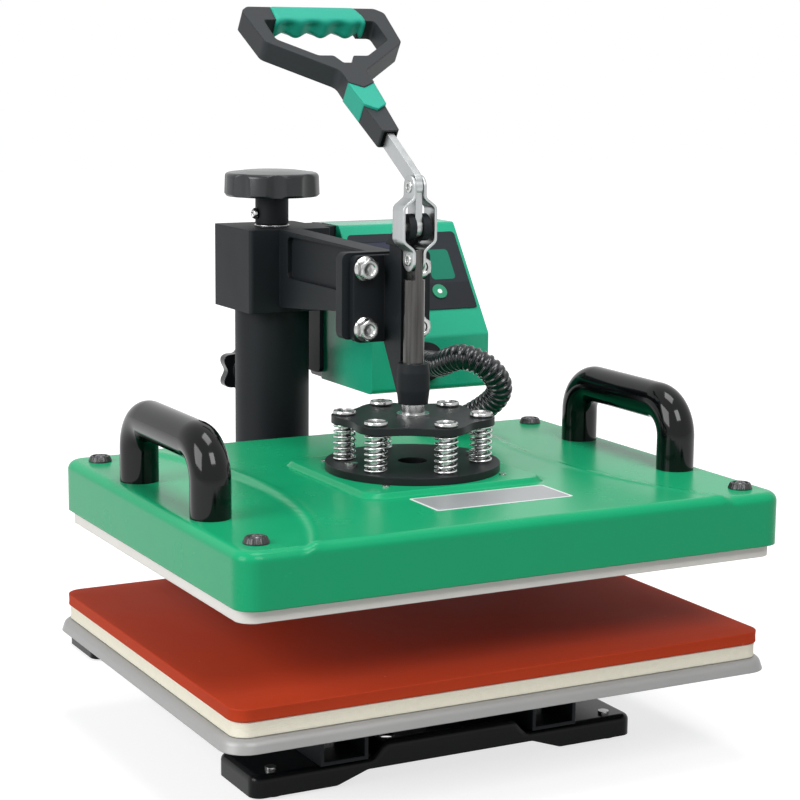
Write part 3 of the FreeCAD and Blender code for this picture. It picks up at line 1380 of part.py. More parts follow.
housing_hole = rectangle(switch_half_x + bolt_gap, switch_half_z + bolt_gap, switch_x, inlet_z)
save("box_back", back.cut(deep(housing_hole, switch_corner, back_y - 5, back_y + 5)))
housing = rectangle(switch_half_x, switch_half_z, switch_x, inlet_z)
housing = deep(housing, switch_corner, back_y - switch_depth, back_y)
housing_rim = rectangle(switch_half_x + switch_flange, switch_half_z + switch_flange, switch_x, inlet_z)
housing = housing.fuse(deep(housing_rim, switch_corner, back_y, back_y + switch_flange))
rocker_x = switch_half_x - switch_wall - key_gap
rocker_well = rectangle(rocker_x + key_gap, switch_half_z - switch_wall, switch_x, inlet_z)
housing = housing.cut(deep(rocker_well, 0, back_y - switch_depth + switch_floor, back_y + 5))
trunnion_y = back_y - rocker_trunnion_depth
trunnion_reach = switch_half_x - trunnion_skin
trunnion_hole = rocker_trunnion_radius + running_gap
trunnion_x = switch_x - trunnion_reach
housing = housing.cut(rod(trunnion_x, trunnion_y, inlet_z, trunnion_hole, 2 * trunnion_reach, along_x))
save("power_inlet", inlet, housing)
rocker_points = [(-rocker_foot, -rocker_foot_half_z), (rocker_shoulder, -rocker_half_z)]
rocker_points += [(rocker_top, -rocker_half_z), (rocker_dip, 0.0), (rocker_top, rocker_half_z)]
rocker_points += [(rocker_shoulder, rocker_half_z), (-rocker_foot, rocker_foot_half_z)]
rocker = across(rocker_points, 0, switch_x - rocker_x, switch_x + rocker_x)
rocker.rotate(V(0, 0, 0), along_x, -rocker_tilt)
rocker = rocker.translated(V(0, trunnion_y, inlet_z))
trunnion = rod(trunnion_x, trunnion_y, inlet_z, rocker_trunnion_radius, 2 * trunnion_reach, along_x)
save("power_rocker", rocker.fuse(trunnion).removeSplitter())

bracket_points = [(column_y + bracket_start, bracket_bottom), (column_y + bracket_end, bracket_bottom)]
bracket_points += [(column_y + bracket_end, box_top - bracket_top_drop)]
bracket_points += [(column_y + bracket_start, box_top - bracket_top_drop)]
box_bracket = across(bracket_points, bracket_corner, box_left - bracket_thickness, box_left)
block_front = column_y - bracket_block_half
block_back = column_y + bracket_block_half
block_points = [(hub_half_x, block_front), (box_left, block_front)]
block_points += [(box_left, block_back), (hub_half_x, block_back)]
block_radii = [0, bracket_block_corner, 0, 0]
block = upright(block_points, block_radii, bracket_block_bottom, box_top - bracket_block_drop)
box_bracket = box_bracket.fuse(block).removeSplitter()
box_bolts = []
for y, z in box_bolt_spots:
    box_bracket = box_bracket.cut(rod(0, y, z, box_bolt_radius + bolt_gap, 60, along_x))
    start = hub_half_x - box_bolt_bite + 1
    head_x = box_left + box_wall
    shank = rod(start, y, z, box_bolt_radius, head_x - start, along_x)
    box_bolts.append(shank.fuse(rod(head_x, y, z, box_bolt_head_radius, box_bolt_head, along_x)))
save("box_bracket", box_bracket)
save("box_fasteners", *box_bolts, *box_screws, *board_screws)

# Hose: ribbed tube from a gland on the front of the box to a slanted gland on the platen
gland_front = front_y - gland_height
box_gland = rod(gland_x, gland_front, gland_z, gland_radius, gland_height, along_y)
save("box_gland", box_gland.cut(rod(gland_x, gland_front - 1, gland_z, hose_bore_radius, 30, along_y)))
foot = V(hose_foot_x, press_y + hose_foot_y, gland_seat_z)
slant = math.sqrt(1 - gland_way.z ** 2)
platen_gland_length = (hose_radius * slant + gland_lift) / gland_way.z
root = foot - gland_way * platen_gland_length
stem = Part.makeCylinder(platen_gland_radius, 2 * platen_gland_length, root, gland_way)
stem = stem.cut(slab(cover_width, cover_depth, 0, gland_seat_z - cover_height, gland_seat_z, 0, press_y))
stem = stem.cut(Part.makeCylinder(hose_bore_radius, 2 * platen_gland_length, root, gland_way))
save("platen_gland", stem)

hose_start = V(gland_x, gland_front, gland_z)
hose_end = foot + gland_way * platen_gland_length
straight = 2 * hose_radius
first_turn = hose_start - along_y * straight
last_turn = hose_end + gland_way * straight
route = Part.BSplineCurve()
route.interpolate([first_turn] + [V(x, press_y + y, z) for x, y, z in hose_route] + [last_turn],
                  InitialTangent=V(0, -1, 0), FinalTangent=-gland_way)
bend_length = route.length()
hose_length = bend_length + 2 * straight
print("hose: length", round(hose_length, 1), "mm, rib pitch", round(hose_length / hose_ribs, 2), "mm")


def hose_place(s):
    """Point and direction at a distance along the hose."""
    if s <= straight:
        return hose_start - along_y * s, V(0, -1, 0)
    if s >= straight + bend_length:
        return last_turn - gland_way * (s - straight - bend_length), -gland_way
    u = route.parameterAtDistance(s - straight)
    return route.value(u), route.tangent(u)[0]


def ring_wires(stations, across_way):
    """Circles square to the hose at each (distance, radius), each turned as little as the last allows."""
    wires = []
    for s, radius in stations:
        point, way = hose_place(s)
        across_way = across_way - way * across_way.dot(way)
        across_way.normalize()
        circle = Part.makeCircle(radius)
        circle.Placement = Placement(point, Rotation(across_way, way.cross(across_way), way, "ZXY"))
        wires.append(Part.Wire(circle))
    return wires


pitch = hose_length / hose_ribs
outer_stations = []
for i in range(hose_ribs):
    base = i * pitch
    outer_stations.append((base, hose_valley_radius))
    outer_stations.append((base + 0.22 * pitch, hose_valley_radius))
    outer_stations.append((base + 0.42 * pitch, hose_radius))
    outer_stations.append((base + 0.8 * pitch, hose_radius))
outer_stations.append((hose_length, hose_valley_radius))
bore_stations = [(hose_length * i / (2 * hose_ribs), hose_bore_radius) for i in range(2 * hose_ribs + 1)]
hose = Part.makeLoft(ring_wires(outer_stations, V(0, 0, 1)), True, True)
hose = hose.cut(Part.makeLoft(ring_wires(bore_stations, V(0, 0, 1)), True, True))
save("wiring_hose", hose)
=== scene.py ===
# Looks of a swing-away combo heat press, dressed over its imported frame.
# Each section is one piece or one group of like pieces: the hose first, then from
# the bench upwards. A helper stands where it is first needed. Lengths are metres
# in the frame's own axes: X to the operator's right, Y from the operator towards
# the column, Z up.
import math

import bmesh
import bpy
import numpy as np
from mathutils import Matrix, Vector


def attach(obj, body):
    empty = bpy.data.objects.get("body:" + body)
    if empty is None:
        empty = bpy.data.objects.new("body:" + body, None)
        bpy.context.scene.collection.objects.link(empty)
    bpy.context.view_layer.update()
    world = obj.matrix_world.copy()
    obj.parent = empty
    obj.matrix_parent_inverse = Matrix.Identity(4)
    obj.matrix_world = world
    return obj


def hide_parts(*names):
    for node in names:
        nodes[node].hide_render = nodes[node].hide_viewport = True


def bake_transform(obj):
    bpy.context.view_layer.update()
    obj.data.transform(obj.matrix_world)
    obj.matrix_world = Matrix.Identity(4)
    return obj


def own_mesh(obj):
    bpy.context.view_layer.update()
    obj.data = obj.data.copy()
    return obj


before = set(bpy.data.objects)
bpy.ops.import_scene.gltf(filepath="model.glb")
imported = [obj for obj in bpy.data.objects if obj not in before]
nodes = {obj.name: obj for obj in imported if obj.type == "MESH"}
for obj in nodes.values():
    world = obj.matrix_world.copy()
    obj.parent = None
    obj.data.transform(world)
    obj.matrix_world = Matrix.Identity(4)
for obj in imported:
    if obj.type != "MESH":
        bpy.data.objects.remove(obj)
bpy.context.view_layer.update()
scene = bpy.context.scene
scene.view_settings.view_transform = "Standard"

# ---------------------------------------------------------------- the studio
# A white sweep with soft light: a large softbox on the left, one overhead and
# one in front of the bed. The camera stands a little left of the press and
# looks slightly down on its bed.
camera_place = (-0.6448, -1.2788, 0.4698)
yaw, pitch, roll = math.radians(-28.038), math.radians(-9.748), math.radians(0.527)
right = Vector((math.cos(yaw), math.sin(yaw), 0))
ahead = Vector((-math.sin(yaw) * math.cos(pitch), math.cos(yaw) * math.cos(pitch),
                math.sin(pitch)))
above = right.cross(ahead)
side = right * math.cos(roll) + above * math.sin(roll)
top = above * math.cos(roll) - right * math.sin(roll)
lens = bpy.data.cameras.new("camera")
lens.lens = 93.04
lens.sensor_width = 36
lens.clip_start = 0.05
camera = bpy.data.objects.new("camera", lens)
camera_turn = Matrix((side, top, -ahead)).transposed().to_4x4()
camera.matrix_world = Matrix.Translation(camera_place) @ camera_turn
scene.collection.objects.link(camera)
scene.camera = camera


def white_seen_directly(tree, shader, white):
    """Puts the white shader in front of shader for rays that look at the surface straight, by
    reflection or through something clear, so that the white never lights the object."""
    path = tree.nodes.new("ShaderNodeLightPath")
    seen = path.outputs["Is Camera Ray"]
    for ray in ("Is Glossy Ray", "Is Transmission Ray"):
        either = tree.nodes.new("ShaderNodeMath")
        either.operation = "MAXIMUM"
        tree.links.new(seen, either.inputs[0])
        tree.links.new(path.outputs[ray], either.inputs[1])
        seen = either.outputs[0]
    mixed = tree.nodes.new("ShaderNodeMixShader")
    tree.links.new(seen, mixed.inputs[0])
    tree.links.new(shader.outputs[0], mixed.inputs[1])
    tree.links.new(white.outputs[0], mixed.inputs[2])
    return mixed


def mapped(tree, value, low, high, to_low=0, to_high=1):
    """A socket with value mapped from low and high to to_low and to_high, and held between."""
    node = tree.nodes.new("ShaderNodeMapRange")
    node.inputs["From Min"].default_value = low
    node.inputs["From Max"].default_value = high
    node.inputs["To Min"].default_value = to_low
    node.inputs["To Max"].default_value = to_high
    tree.links.new(value, node.inputs["Value"])
    return node.outputs["Result"]


sky = bpy.data.worlds.new("studio")
scene.world = sky
sky.use_nodes = True
tree = sky.node_tree
glow = tree.nodes["Background"]
glow.inputs["Color"].default_value = (0.95, 0.97, 1.0, 1)
glow.inputs["Strength"].default_value = 0.17
plain_white = tree.nodes.new("ShaderNodeBackground")
plain_white.inputs["Color"].default_value = (1, 1, 1, 1)
seen_sky = white_seen_directly(tree, glow, plain_white)
tree.links.new(seen_sky.outputs[0], tree.nodes["World Output"].inputs["Surface"])
press_middle = Vector((0, 0, 0.2))


def softbox(name, place, size, watts):
    """A square area lamp at place, turned so that it shines at the middle of the press."""
    lamp = bpy.data.lights.new(name, "AREA")
    lamp.shape = "SQUARE"
    lamp.size = size
    lamp.energy = watts
    holder = bpy.data.objects.new(name, lamp)
    holder.location = place
    beam = press_middle - Vector(place)
    holder.rotation_euler = beam.to_track_quat("-Z", "Y").to_euler()
    scene.collection.objects.link(holder)


softbox("left_lamp", (-2.2, -0.3, 1.3), 1.4, 46)
softbox("top_lamp", (0.1, -0.2, 2.2), 0.9, 20)
softbox("front_lamp", (0.0, -1.9, 1.9), 1.0, 33)

# The paper glows for the rays that look at it, and more so with its distance
# from the press, so that only the press's own shadow shows on it.
paper_half, near_reach, far_reach, near_glow = 6, 0.30, 0.62, 0.74
paper_corners = [(-paper_half, -paper_half, 0), (paper_half, -paper_half, 0),
                 (paper_half, paper_half, 0), (-paper_half, paper_half, 0)]
floor_mesh = bpy.data.meshes.new("floor")
floor_mesh.from_pydata(paper_corners, [], [(0, 1, 2, 3)])
floor = bpy.data.objects.new("floor", floor_mesh)
scene.collection.objects.link(floor)
paper = bpy.data.materials.new("paper_sweep")
paper.use_nodes = True
tree = paper.node_tree
sheet_white = tree.nodes["Principled BSDF"]
sheet_white.inputs["Base Color"].default_value = (0.35, 0.35, 0.35, 1)
sheet_white.inputs["Roughness"].default_value = 0.9
where = tree.nodes.new("ShaderNodeTexCoord")
length = tree.nodes.new("ShaderNodeVectorMath")
length.operation = "LENGTH"
tree.links.new(where.outputs["Object"], length.inputs[0])
fade = mapped(tree, length.outputs["Value"], near_reach, far_reach, near_glow, 1.0)
gleam = tree.nodes.new("ShaderNodeEmission")
tree.links.new(fade, gleam.inputs["Strength"])
both = tree.nodes.new("ShaderNodeAddShader")
tree.links.new(sheet_white.outputs[0], both.inputs[0])
tree.links.new(gleam.outputs[0], both.inputs[1])
seen_paper = white_seen_directly(tree, sheet_white, both)
tree.links.new(seen_paper.outputs[0], tree.nodes["Material Output"].inputs["Surface"])
floor_mesh.materials.append(paper)

# ------------------------------------------------------------------- the hose
# A ribbed black conduit that carries the heater's wires from the front of the
# control box down to the platen. One end stays with the arm and the other
# goes down with the platen, so it stretches between them.
press_y, column_y = -0.0865, 0.1395
black = (0.0052, 0.0072, 0.0092)


def finish(name, colour, rough, metal=0.0, peel=0.0, peel_size=0.001, drift=0.08,
           drift_size=0.03, rough_drift=0.05, stretch=(1, 1, 1), edge=0.0006, specular=0.5):
    """A surface whose colour and roughness drift by soft noise over drift_size, with a bump of
    height peel over peel_size, and whose sharp edges are shaded as if rounded to the radius
    edge."""
    material = bpy.data.materials.new(name)
    material.use_nodes = True
    tree = material.node_tree
    shader = tree.nodes["Principled BSDF"]
    shader.inputs["Metallic"].default_value = metal
    shader.inputs["Specular IOR Level"].default_value = specular
    where = tree.nodes.new("ShaderNodeTexCoord")
    lay = tree.nodes.new("ShaderNodeMapping")
    lay.inputs["Scale"].default_value = stretch
    tree.links.new(where.outputs["Object"], lay.inputs["Vector"])
    soft = tree.nodes.new("ShaderNodeTexNoise")
    soft.inputs["Scale"].default_value = 1 / drift_size
    soft.inputs["Detail"].default_value = 4
    tree.links.new(lay.outputs["Vector"], soft.inputs["Vector"])
    hue = tree.nodes.new("ShaderNodeMix")
    hue.data_type = "RGBA"
    hue.inputs["A"].default_value = [c * (1 - drift) for c in colour] + [1]
    hue.inputs["B"].default_value = [min(1, c * (1 + drift)) for c in colour] + [1]
    tree.links.new(soft.outputs["Fac"], hue.inputs["Factor"])
    tree.links.new(hue.outputs["Result"], shader.inputs["Base Color"])
    sheen = mapped(tree, soft.outputs["Fac"], 0, 1, max(0, rough - rough_drift),
                   rough + rough_drift)
    tree.links.new(sheen, shader.inputs["Roughness"])
    rounded = None
    if edge:
        rounded = tree.nodes.new("ShaderNodeBevel")
        rounded.samples = 4
        rounded.inputs["Radius"].default_value = edge
        tree.links.new(rounded.outputs["Normal"], shader.inputs["Normal"])
    if peel:
        fine = tree.nodes.new("ShaderNodeTexNoise")
        fine.inputs["Scale"].default_value = 1 / peel_size
        fine.inputs["Detail"].default_value = 3
        tree.links.new(lay.outputs["Vector"], fine.inputs["Vector"])
        bump = tree.nodes.new("ShaderNodeBump")
        bump.inputs["Distance"].default_value = peel
        tree.links.new(fine.outputs["Fac"], bump.inputs["Height"])
        if rounded:
            tree.links.new(rounded.outputs["Normal"], bump.inputs["Normal"])
        tree.links.new(bump.outputs["Normal"], shader.inputs["Normal"])
    return material


def colour_over(material, share, colour):
    """Lays a colour over the material's base colour, as much as the share socket says."""
    tree = material.node_tree
    base = tree.nodes["Principled BSDF"].inputs["Base Color"]
    mixed = tree.nodes.new("ShaderNodeMix")
    mixed.data_type = "RGBA"
    mixed.inputs["B"].default_value = (*colour, 1)
    tree.links.new(base.links[0].from_socket, mixed.inputs["A"])
    tree.links.new(share, mixed.inputs["Factor"])
    tree.links.new(mixed.outputs["Result"], base)


def skin(grid, loop=True, fan=False):
    """Quads over grid[i, j], row i joined to row i + 1. A looped row joins its last point to its
    first. A fan closes the first and last rows to the middle of each."""
    rows, cols = grid.shape[:2]
    points = grid.reshape(-1, 3)
    i, j = np.meshgrid(np.arange(rows - 1), np.arange(cols if loop else cols - 1), indexing="ij")
    a = (i * cols + j).ravel()
    b = (i * cols + (j + 1) % cols).ravel()
    faces = np.stack([a, b, b + cols, a + cols], -1).tolist()
    if fan:
        points = np.concatenate([points, [grid[0].mean(0)], [grid[-1].mean(0)]])
        j = np.arange(cols)
        ahead, last = (j + 1) % cols, (rows - 1) * cols
        faces += np.stack([j, ahead, np.full(cols, rows * cols)], -1).tolist()
        faces += np.stack([last + j, last + ahead, np.full(cols, rows * cols + 1)], -1).tolist()
    return points, faces


def piece(name, skins, material, body, slot, *stands_for, sharp=40):
    """One object from several skins: doubles merged, faces turned outwards, smooth but for edges
    sharper than sharp."""
    points, faces, count = [], [], 0
    for skin_points, skin_faces in skins:
        points.append(skin_points)
        faces += [[corner + count for corner in face] for face in skin_faces]
        count += len(skin_points)
    mesh = bpy.data.meshes.new(name)
    mesh.from_pydata(np.concatenate(points).tolist(), [], faces)
    work = bmesh.new()
    work.from_mesh(mesh)
    bmesh.ops.remove_doubles(work, verts=work.verts, dist=1e-7)
    bmesh.ops.dissolve_degenerate(work, edges=work.edges, dist=1e-8)
    bmesh.ops.recalc_face_normals(work, faces=work.faces)
    work.to_mesh(mesh)
    work.free()
    mesh.shade_smooth()
    mesh.set_sharp_from_angle(angle=math.radians(sharp))
    mesh.materials.append(material)
    made = bpy.data.objects.new(name, mesh)
    scene.collection.objects.link(made)
    if body:
        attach(made, body)
    if stands_for:
        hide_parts(*stands_for)
    return made


hose_route = [(0.088, 0.0565, 0.237), (0.088, 0.0375, 0.237), (0.0865, 0.0205, 0.2435),
              (0.0915, 0.0045, 0.2490), (0.1065, -0.0070, 0.2405), (0.1195, -0.0035, 0.2225),
              (0.1125, 0.0130, 0.2060), (0.1023, 0.0277, 0.1963)]
line = bpy.data.curves.new("hose_line", "CURVE")
line.dimensions = "3D"
spline = line.splines.new("NURBS")
spline.points.add(len(hose_route) - 1)
for point, place in zip(spline.points, hose_route):
    point.co = (*place, 1)
spline.order_u = 3
spline.use_endpoint_u = True
spline.resolution_u = 24
holder = bpy.data.objects.new("hose_line", line)
scene.collection.objects.link(holder)
bpy.context.view_layer.update()
wire = bpy.data.meshes.new_from_object(holder)
hose_path = np.array([v.co for v in wire.vertices], float)
bpy.data.objects.remove(holder)


def along(path, stations):
    """Points and unit tangents at the given shares, 0 to 1, of the path's length, and that
    length."""
    run = np.concatenate([[0], np.cumsum(np.linalg.norm(np.diff(path, axis=0), axis=1))])
    at = np.stack([np.interp(stations * run[-1], run, path[:, k]) for k in range(3)], -1)
    way = np.gradient(path, run, axis=0)
    way = np.stack([np.interp(stations * run[-1], run, way[:, k]) for k in range(3)], -1)
    return at, way / np.linalg.norm(way, axis=1)[:, None], run[-1]


def spokes(first, second, angle):
    """Unit spokes at each angle from each row of first towards the same row of second."""
    return first[:, None] * np.cos(angle)[:, None] + second[:, None] * np.sin(angle)[:, None]


def tube(path, radius, stations, around=32):
    """A round skin on the path, and its length: a circle of the given radius at each station,
    square to the path, turned against the one direction that the path nearly stays square to."""
    at, way, length = along(path, stations)
    flat = np.linalg.svd(path - path.mean(0))[2][-1]
    first = flat - way * (way @ flat)[:, None]
    first /= np.linalg.norm(first, axis=1)[:, None]
    ring = spokes(first, np.cross(way, first), np.linspace(0, 2 * np.pi, around, endpoint=False))
    return at[:, None] + ring * np.reshape(radius, (-1, 1, 1)), length


hose_ribs, valley_radius, rib_height, rib_square = 30, 0.0082, 0.0013, 3.2
phase = np.linspace(0, hose_ribs, hose_ribs * 10 + 1)
rib = 0.5 + 0.5 * np.tanh(rib_square * np.sin(2 * np.pi * phase)) / np.tanh(rib_square)
hose_grid, hose_length = tube(hose_path, valley_radius + rib_height * rib, phase / hose_ribs)
hose_plastic = finish("hose_plastic", black, 0.24, drift=0.2, edge=0, specular=0.55)
hose = piece("ribbed_hose", [skin(hose_grid, fan=True)], hose_plastic, None, "gloss_black",
             "wiring_hose", sharp=80)
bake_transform(hose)

# ------------------------------------------------------- crossbars and rails
# Two pressed steel crossbars and two channel rails, bolted under the bed. The
# crossbars are enamelled gloss black and the rails powder-coated, with a fine
# orange peel.


def dress(material, *names):
    """Gives the named frame pieces one finish."""
    for name in names:
        mesh = nodes[name].data
        mesh.materials.clear()
        mesh.materials.append(material)


powder_coat = finish("powder_coat", black, 0.56, peel=0.00003, peel_size=0.0009, edge=0.001,
                     specular=0.20)
gloss_coat = finish("gloss_coat", (0.0045, 0.0052, 0.0062), 0.20, peel=0.00002,
                    peel_size=0.004, edge=0.0008, specular=0.15)
dress(gloss_coat, "front_crossbar", "rear_crossbar")
dress(powder_coat, "left_rail", "right_rail", "column_plate")

# --------------------------------------------------------------- rubber feet
# Four moulded rubber feet, screwed under the ends of the crossbars.
foot_rubber = finish("foot_rubber", (0.018, 0.018, 0.018), 0.75, peel=0.00008, peel_size=0.0008)
dress(foot_rubber, "rubber_feet")

# -------------------------------------------------------- zinc-plated fixings
# Bolts, nuts, pins and rivets, bright zinc over steel, with slight streaks
# from the turning and small dull patches from handling.
zinc = finish("zinc_plate", (0.46, 0.465, 0.46), 0.24, metal=1.0, peel=0.000006,
              peel_size=0.0007, drift=0.25, drift_size=0.003, rough_drift=0.09, edge=0.0003)
dress(zinc, "frame_fixings", "lever_pivot_pin", "link_pin_top", "link_rivets",
      "plunger_fittings", "platen_fixings", "box_fasteners", "thrust_washer",
      "pressure_spindle")

# -------------------------------------------------------------------- bed pan
# Shallow pan pressed from sheet, its rim rolled over and flared, sprayed
# silver-grey. The spray leaves a faint cloudiness.
pan_paint = finish("pan_paint", (0.335, 0.335, 0.33), 0.42, metal=0.15, peel=0.00004,
                   peel_size=0.0011, drift=0.07, drift_size=0.05, edge=0.0008, specular=0.4)
dress(pan_paint, "lower_tray")

# ------------------------------------------------------------------- foam mat
# Cream foam cut as a sheet, the size of the pad less a hair, glued into the
# pan. Its cut edge is slightly hollow and shows the open cells.
bed_y, foam_low, foam_top, pad_top = -0.0755, 0.0722, 0.0820, 0.0900
least_corner = 0.0008


def rounded(half_x, half_y, radius, steps=12):
    """Points round a rectangle with round corners, anticlockwise, as [x, y] rows."""
    angle = np.linspace(0, np.pi / 2, steps)
    arc = np.stack([np.cos(angle), np.sin(angle)], -1) * radius
    turned_arcs = []
    for quarter, (sx, sy) in enumerate(((1, 1), (-1, 1), (-1, -1), (1, -1))):
        cos = round(math.cos(quarter * math.pi / 2))
        sin = round(math.sin(quarter * math.pi / 2))
        swung = np.stack([arc[:, 0] * cos - arc[:, 1] * sin, arc[:, 0] * sin + arc[:, 1] * cos],
                         -1)
        turned_arcs.append(swung + [sx * (half_x - radius), sy * (half_y - radius)])
    return np.concatenate(turned_arcs)


def sheet_stack(half_x, half_y, radius, rings, centre_y, steps=12):
    """A skin of outlines, one per (inset, height), from the underside's middle over the edge to
    the top's middle, where the inset is None."""
    rows = []
    for inset, height in rings:
        if inset is None:
            flat = np.zeros((4 * steps, 2))
        else:
            corner = max(radius - inset, least_corner)
            flat = rounded(half_x - inset, half_y - inset, corner, steps)
        rows.append(np.column_stack([flat[:, 0], flat[:, 1] + centre_y,
                                     np.full(len(flat), height)]))
    return skin(np.stack(rows))


def soft_edge(low, high, roll, hollow, inner):
    """Rings for a sheet with rolled edges of radius roll, whose side is drawn in by hollow at mid
    height, with one more ring on either face at the inset inner."""
    turn = np.linspace(0, np.pi / 2, 6)
    rise = np.linspace(low + roll, high - roll, 9)[1:-1]
    bulge = hollow * np.sin(np.pi * (rise - low - roll) / (high - low - 2 * roll))
    rings = [(None, low), (inner, low)]
    rings += [(roll * (1 - math.sin(t)), low + roll * (1 - math.cos(t))) for t in turn]
    rings += list(zip(bulge, rise))
    rings += [(roll * (1 - math.cos(t)), high - roll * (1 - math.sin(t))) for t in turn]
    return rings + [(inner, high), (None, high)]


foam = finish("open_cell_foam", (0.86, 0.82, 0.68), 0.95, peel=0.0003, peel_size=0.0008,
              drift=0.05, drift_size=0.004, edge=0, specular=0.2)
foam_edge = soft_edge(foam_low, foam_top, roll=0.0008, hollow=0.0003, inner=0.03)
foam_piece = piece("foam_sheet", [sheet_stack(0.189, 0.149, 0.011, foam_edge, bed_y)], foam,
                   "root", "foam_cream", "foam_mat", sharp=60)

# --------------------------------------------------------------- silicone pad
# Brick-red silicone sponge, cut to the bed's size and laid on the foam. Its
# skin is matt, with stray pale flecks of dust.
silicone = finish("silicone_sponge", (0.43, 0.042, 0.012), 0.66, peel=0.00006,
                  peel_size=0.0007, drift=0.08, drift_size=0.05, edge=0, specular=0.12)
tree = silicone.node_tree
where = tree.nodes.new("ShaderNodeTexCoord")
flecks = tree.nodes.new("ShaderNodeTexVoronoi")
flecks.inputs["Scale"].default_value = 45
tree.links.new(where.outputs["Object"], flecks.inputs["Vector"])
fleck = mapped(tree, flecks.outputs["Distance"], 0.045, 0.025, to_high=0.35)
colour_over(silicone, fleck, (0.62, 0.22, 0.15))
pad_edge = soft_edge(foam_top, pad_top, roll=0.0007, hollow=0.0002, inner=0.03)
pad_piece = piece("silicone_sheet", [sheet_stack(0.190, 0.150, 0.012, pad_edge, bed_y)],
                  silicone, "root", "silicone_red", "silicone_pad", sharp=60)

# --------------------------------------------------------------------- column
# Steel tube welded to its foot plate, the post that turns in it, and the cast
# arm, all black powder coat.
dress(powder_coat, "column_tube", "arm_casting", "swivel_post", "box_bracket")

# ------------------------------------------------------------- pressure knob
# Moulded black knob with eight finger scallops and a crowned top, on a black
# sleeve that a set screw pins to the spindle, over a bright washer. Its crown has
# a painted highlight, paler where its surface faces up towards the lamps.
moulded_black = finish("moulded_black", (0.012, 0.014, 0.016), 0.22, peel=0.00002,
                       peel_size=0.0009, specular=0.45)
knob_black_painted_crown = finish("knob_black_painted_crown", (0.012, 0.014, 0.016), 0.30, peel=0.00002,
                    peel_size=0.0009, specular=0.45)
# Painted highlight: the colour turns paler as the surface's normal turns upwards.
tree = knob_black_painted_crown.node_tree
facing = tree.nodes.new("ShaderNodeNewGeometry")
upward = tree.nodes.new("ShaderNodeSeparateXYZ")
tree.links.new(facing.outputs["Normal"], upward.inputs[0])
colour_over(knob_black_painted_crown, mapped(tree, upward.outputs["Z"], 0.75, 0.98), (0.085, 0.088, 0.090))


def profile(*corners, steps=6):
    """A polyline of (radius, height) from corners, each (r, z, roundness), with an arc of that
    roundness at the corner."""
    flat = np.array([c[:2] for c in corners], float)
    out = []
    for k, (r, z, bend) in enumerate(corners):
        if not bend or k in (0, len(corners) - 1):
            out.append(flat[k][None])
            continue
        before, after = flat[k - 1] - flat[k], flat[k + 1] - flat[k]
        before /= np.linalg.norm(before)
        after /= np.linalg.norm(after)
        half = math.acos(np.clip(before @ after, -1, 1)) / 2
        middle = (before + after) / np.linalg.norm(before + after)
        centre = flat[k] + middle * bend / math.sin(half)
        start = flat[k] + before * bend / math.tan(half)
        end = flat[k] + after * bend / math.tan(half)
        swing = np.linspace(0, 1, steps)[:, None]
        spoke = (start - centre) * (1 - swing) + (end - centre) * swing
        out.append(centre + spoke / np.linalg.norm(spoke, axis=1)[:, None] * bend)
    return np.concatenate(out)


def turned(outline, origin, axis=(0, 0, 1), around=48, shape=None):
    """A skin of revolution: each (radius, height) of the outline swung about the axis. shape
    changes the radii and heights as functions of the angle and both."""
    axis = np.array(axis, float) / np.linalg.norm(axis)
    first = np.cross([0, 0, 1] if abs(axis[2]) < 0.9 else [0, 1, 0], axis)
    first /= np.linalg.norm(first)
    second = np.cross(axis, first)
    angle = np.linspace(0, 2 * np.pi, around, endpoint=False)[None]
    spread = (len(outline), around)
    r, z = (np.broadcast_to(outline[:, k:k + 1], spread) for k in (0, 1))
    if shape:
        r, z = shape(np.broadcast_to(angle, spread), r, z)
    ring = first * np.cos(angle)[..., None] + second * np.sin(angle)[..., None]
    return skin(np.array(origin) + ring * r[..., None] + axis * z[..., None])


washer_z, sleeve_z, screw_z, knob_z = 0.335, 0.336, 0.3445, 0.3575
knob_radius, sleeve_radius, bore_radius = 0.0362, 0.0125, 0.0081
scallop_turn, scallop_deep, scallop_half, scallop_soft = math.radians(26), 0.0024, 0.225, 0.0006


def scallops(angle, r, z):
    """Eight upright finger hollows cut into the rim, each an arc 2.4 mm deep and 26 degrees wide,
    with a soft lip."""
    off = (angle - scallop_turn + math.pi / 8) % (math.pi / 4) - math.pi / 8
    reach = knob_radius - scallop_deep * (1 - (off / scallop_half) ** 2)
    over = np.clip(scallop_soft - np.abs(r - reach), 0, None)
    cut = np.minimum(r, reach)
    return np.where(z > 0, cut - over ** 2 / (4 * scallop_soft), cut), z


def cross_recess(width, reach, deep, above):
    """A head sunk by a cross of four slots round its middle, where it is higher than above."""
    def cut(angle, r, z):
        slot = np.exp(-(np.sin(2 * angle) * r / width) ** 2) * np.clip((reach - r) / 0.0006, 0, 1)
        return r, z - deep * slot * (z > above)
    return cut


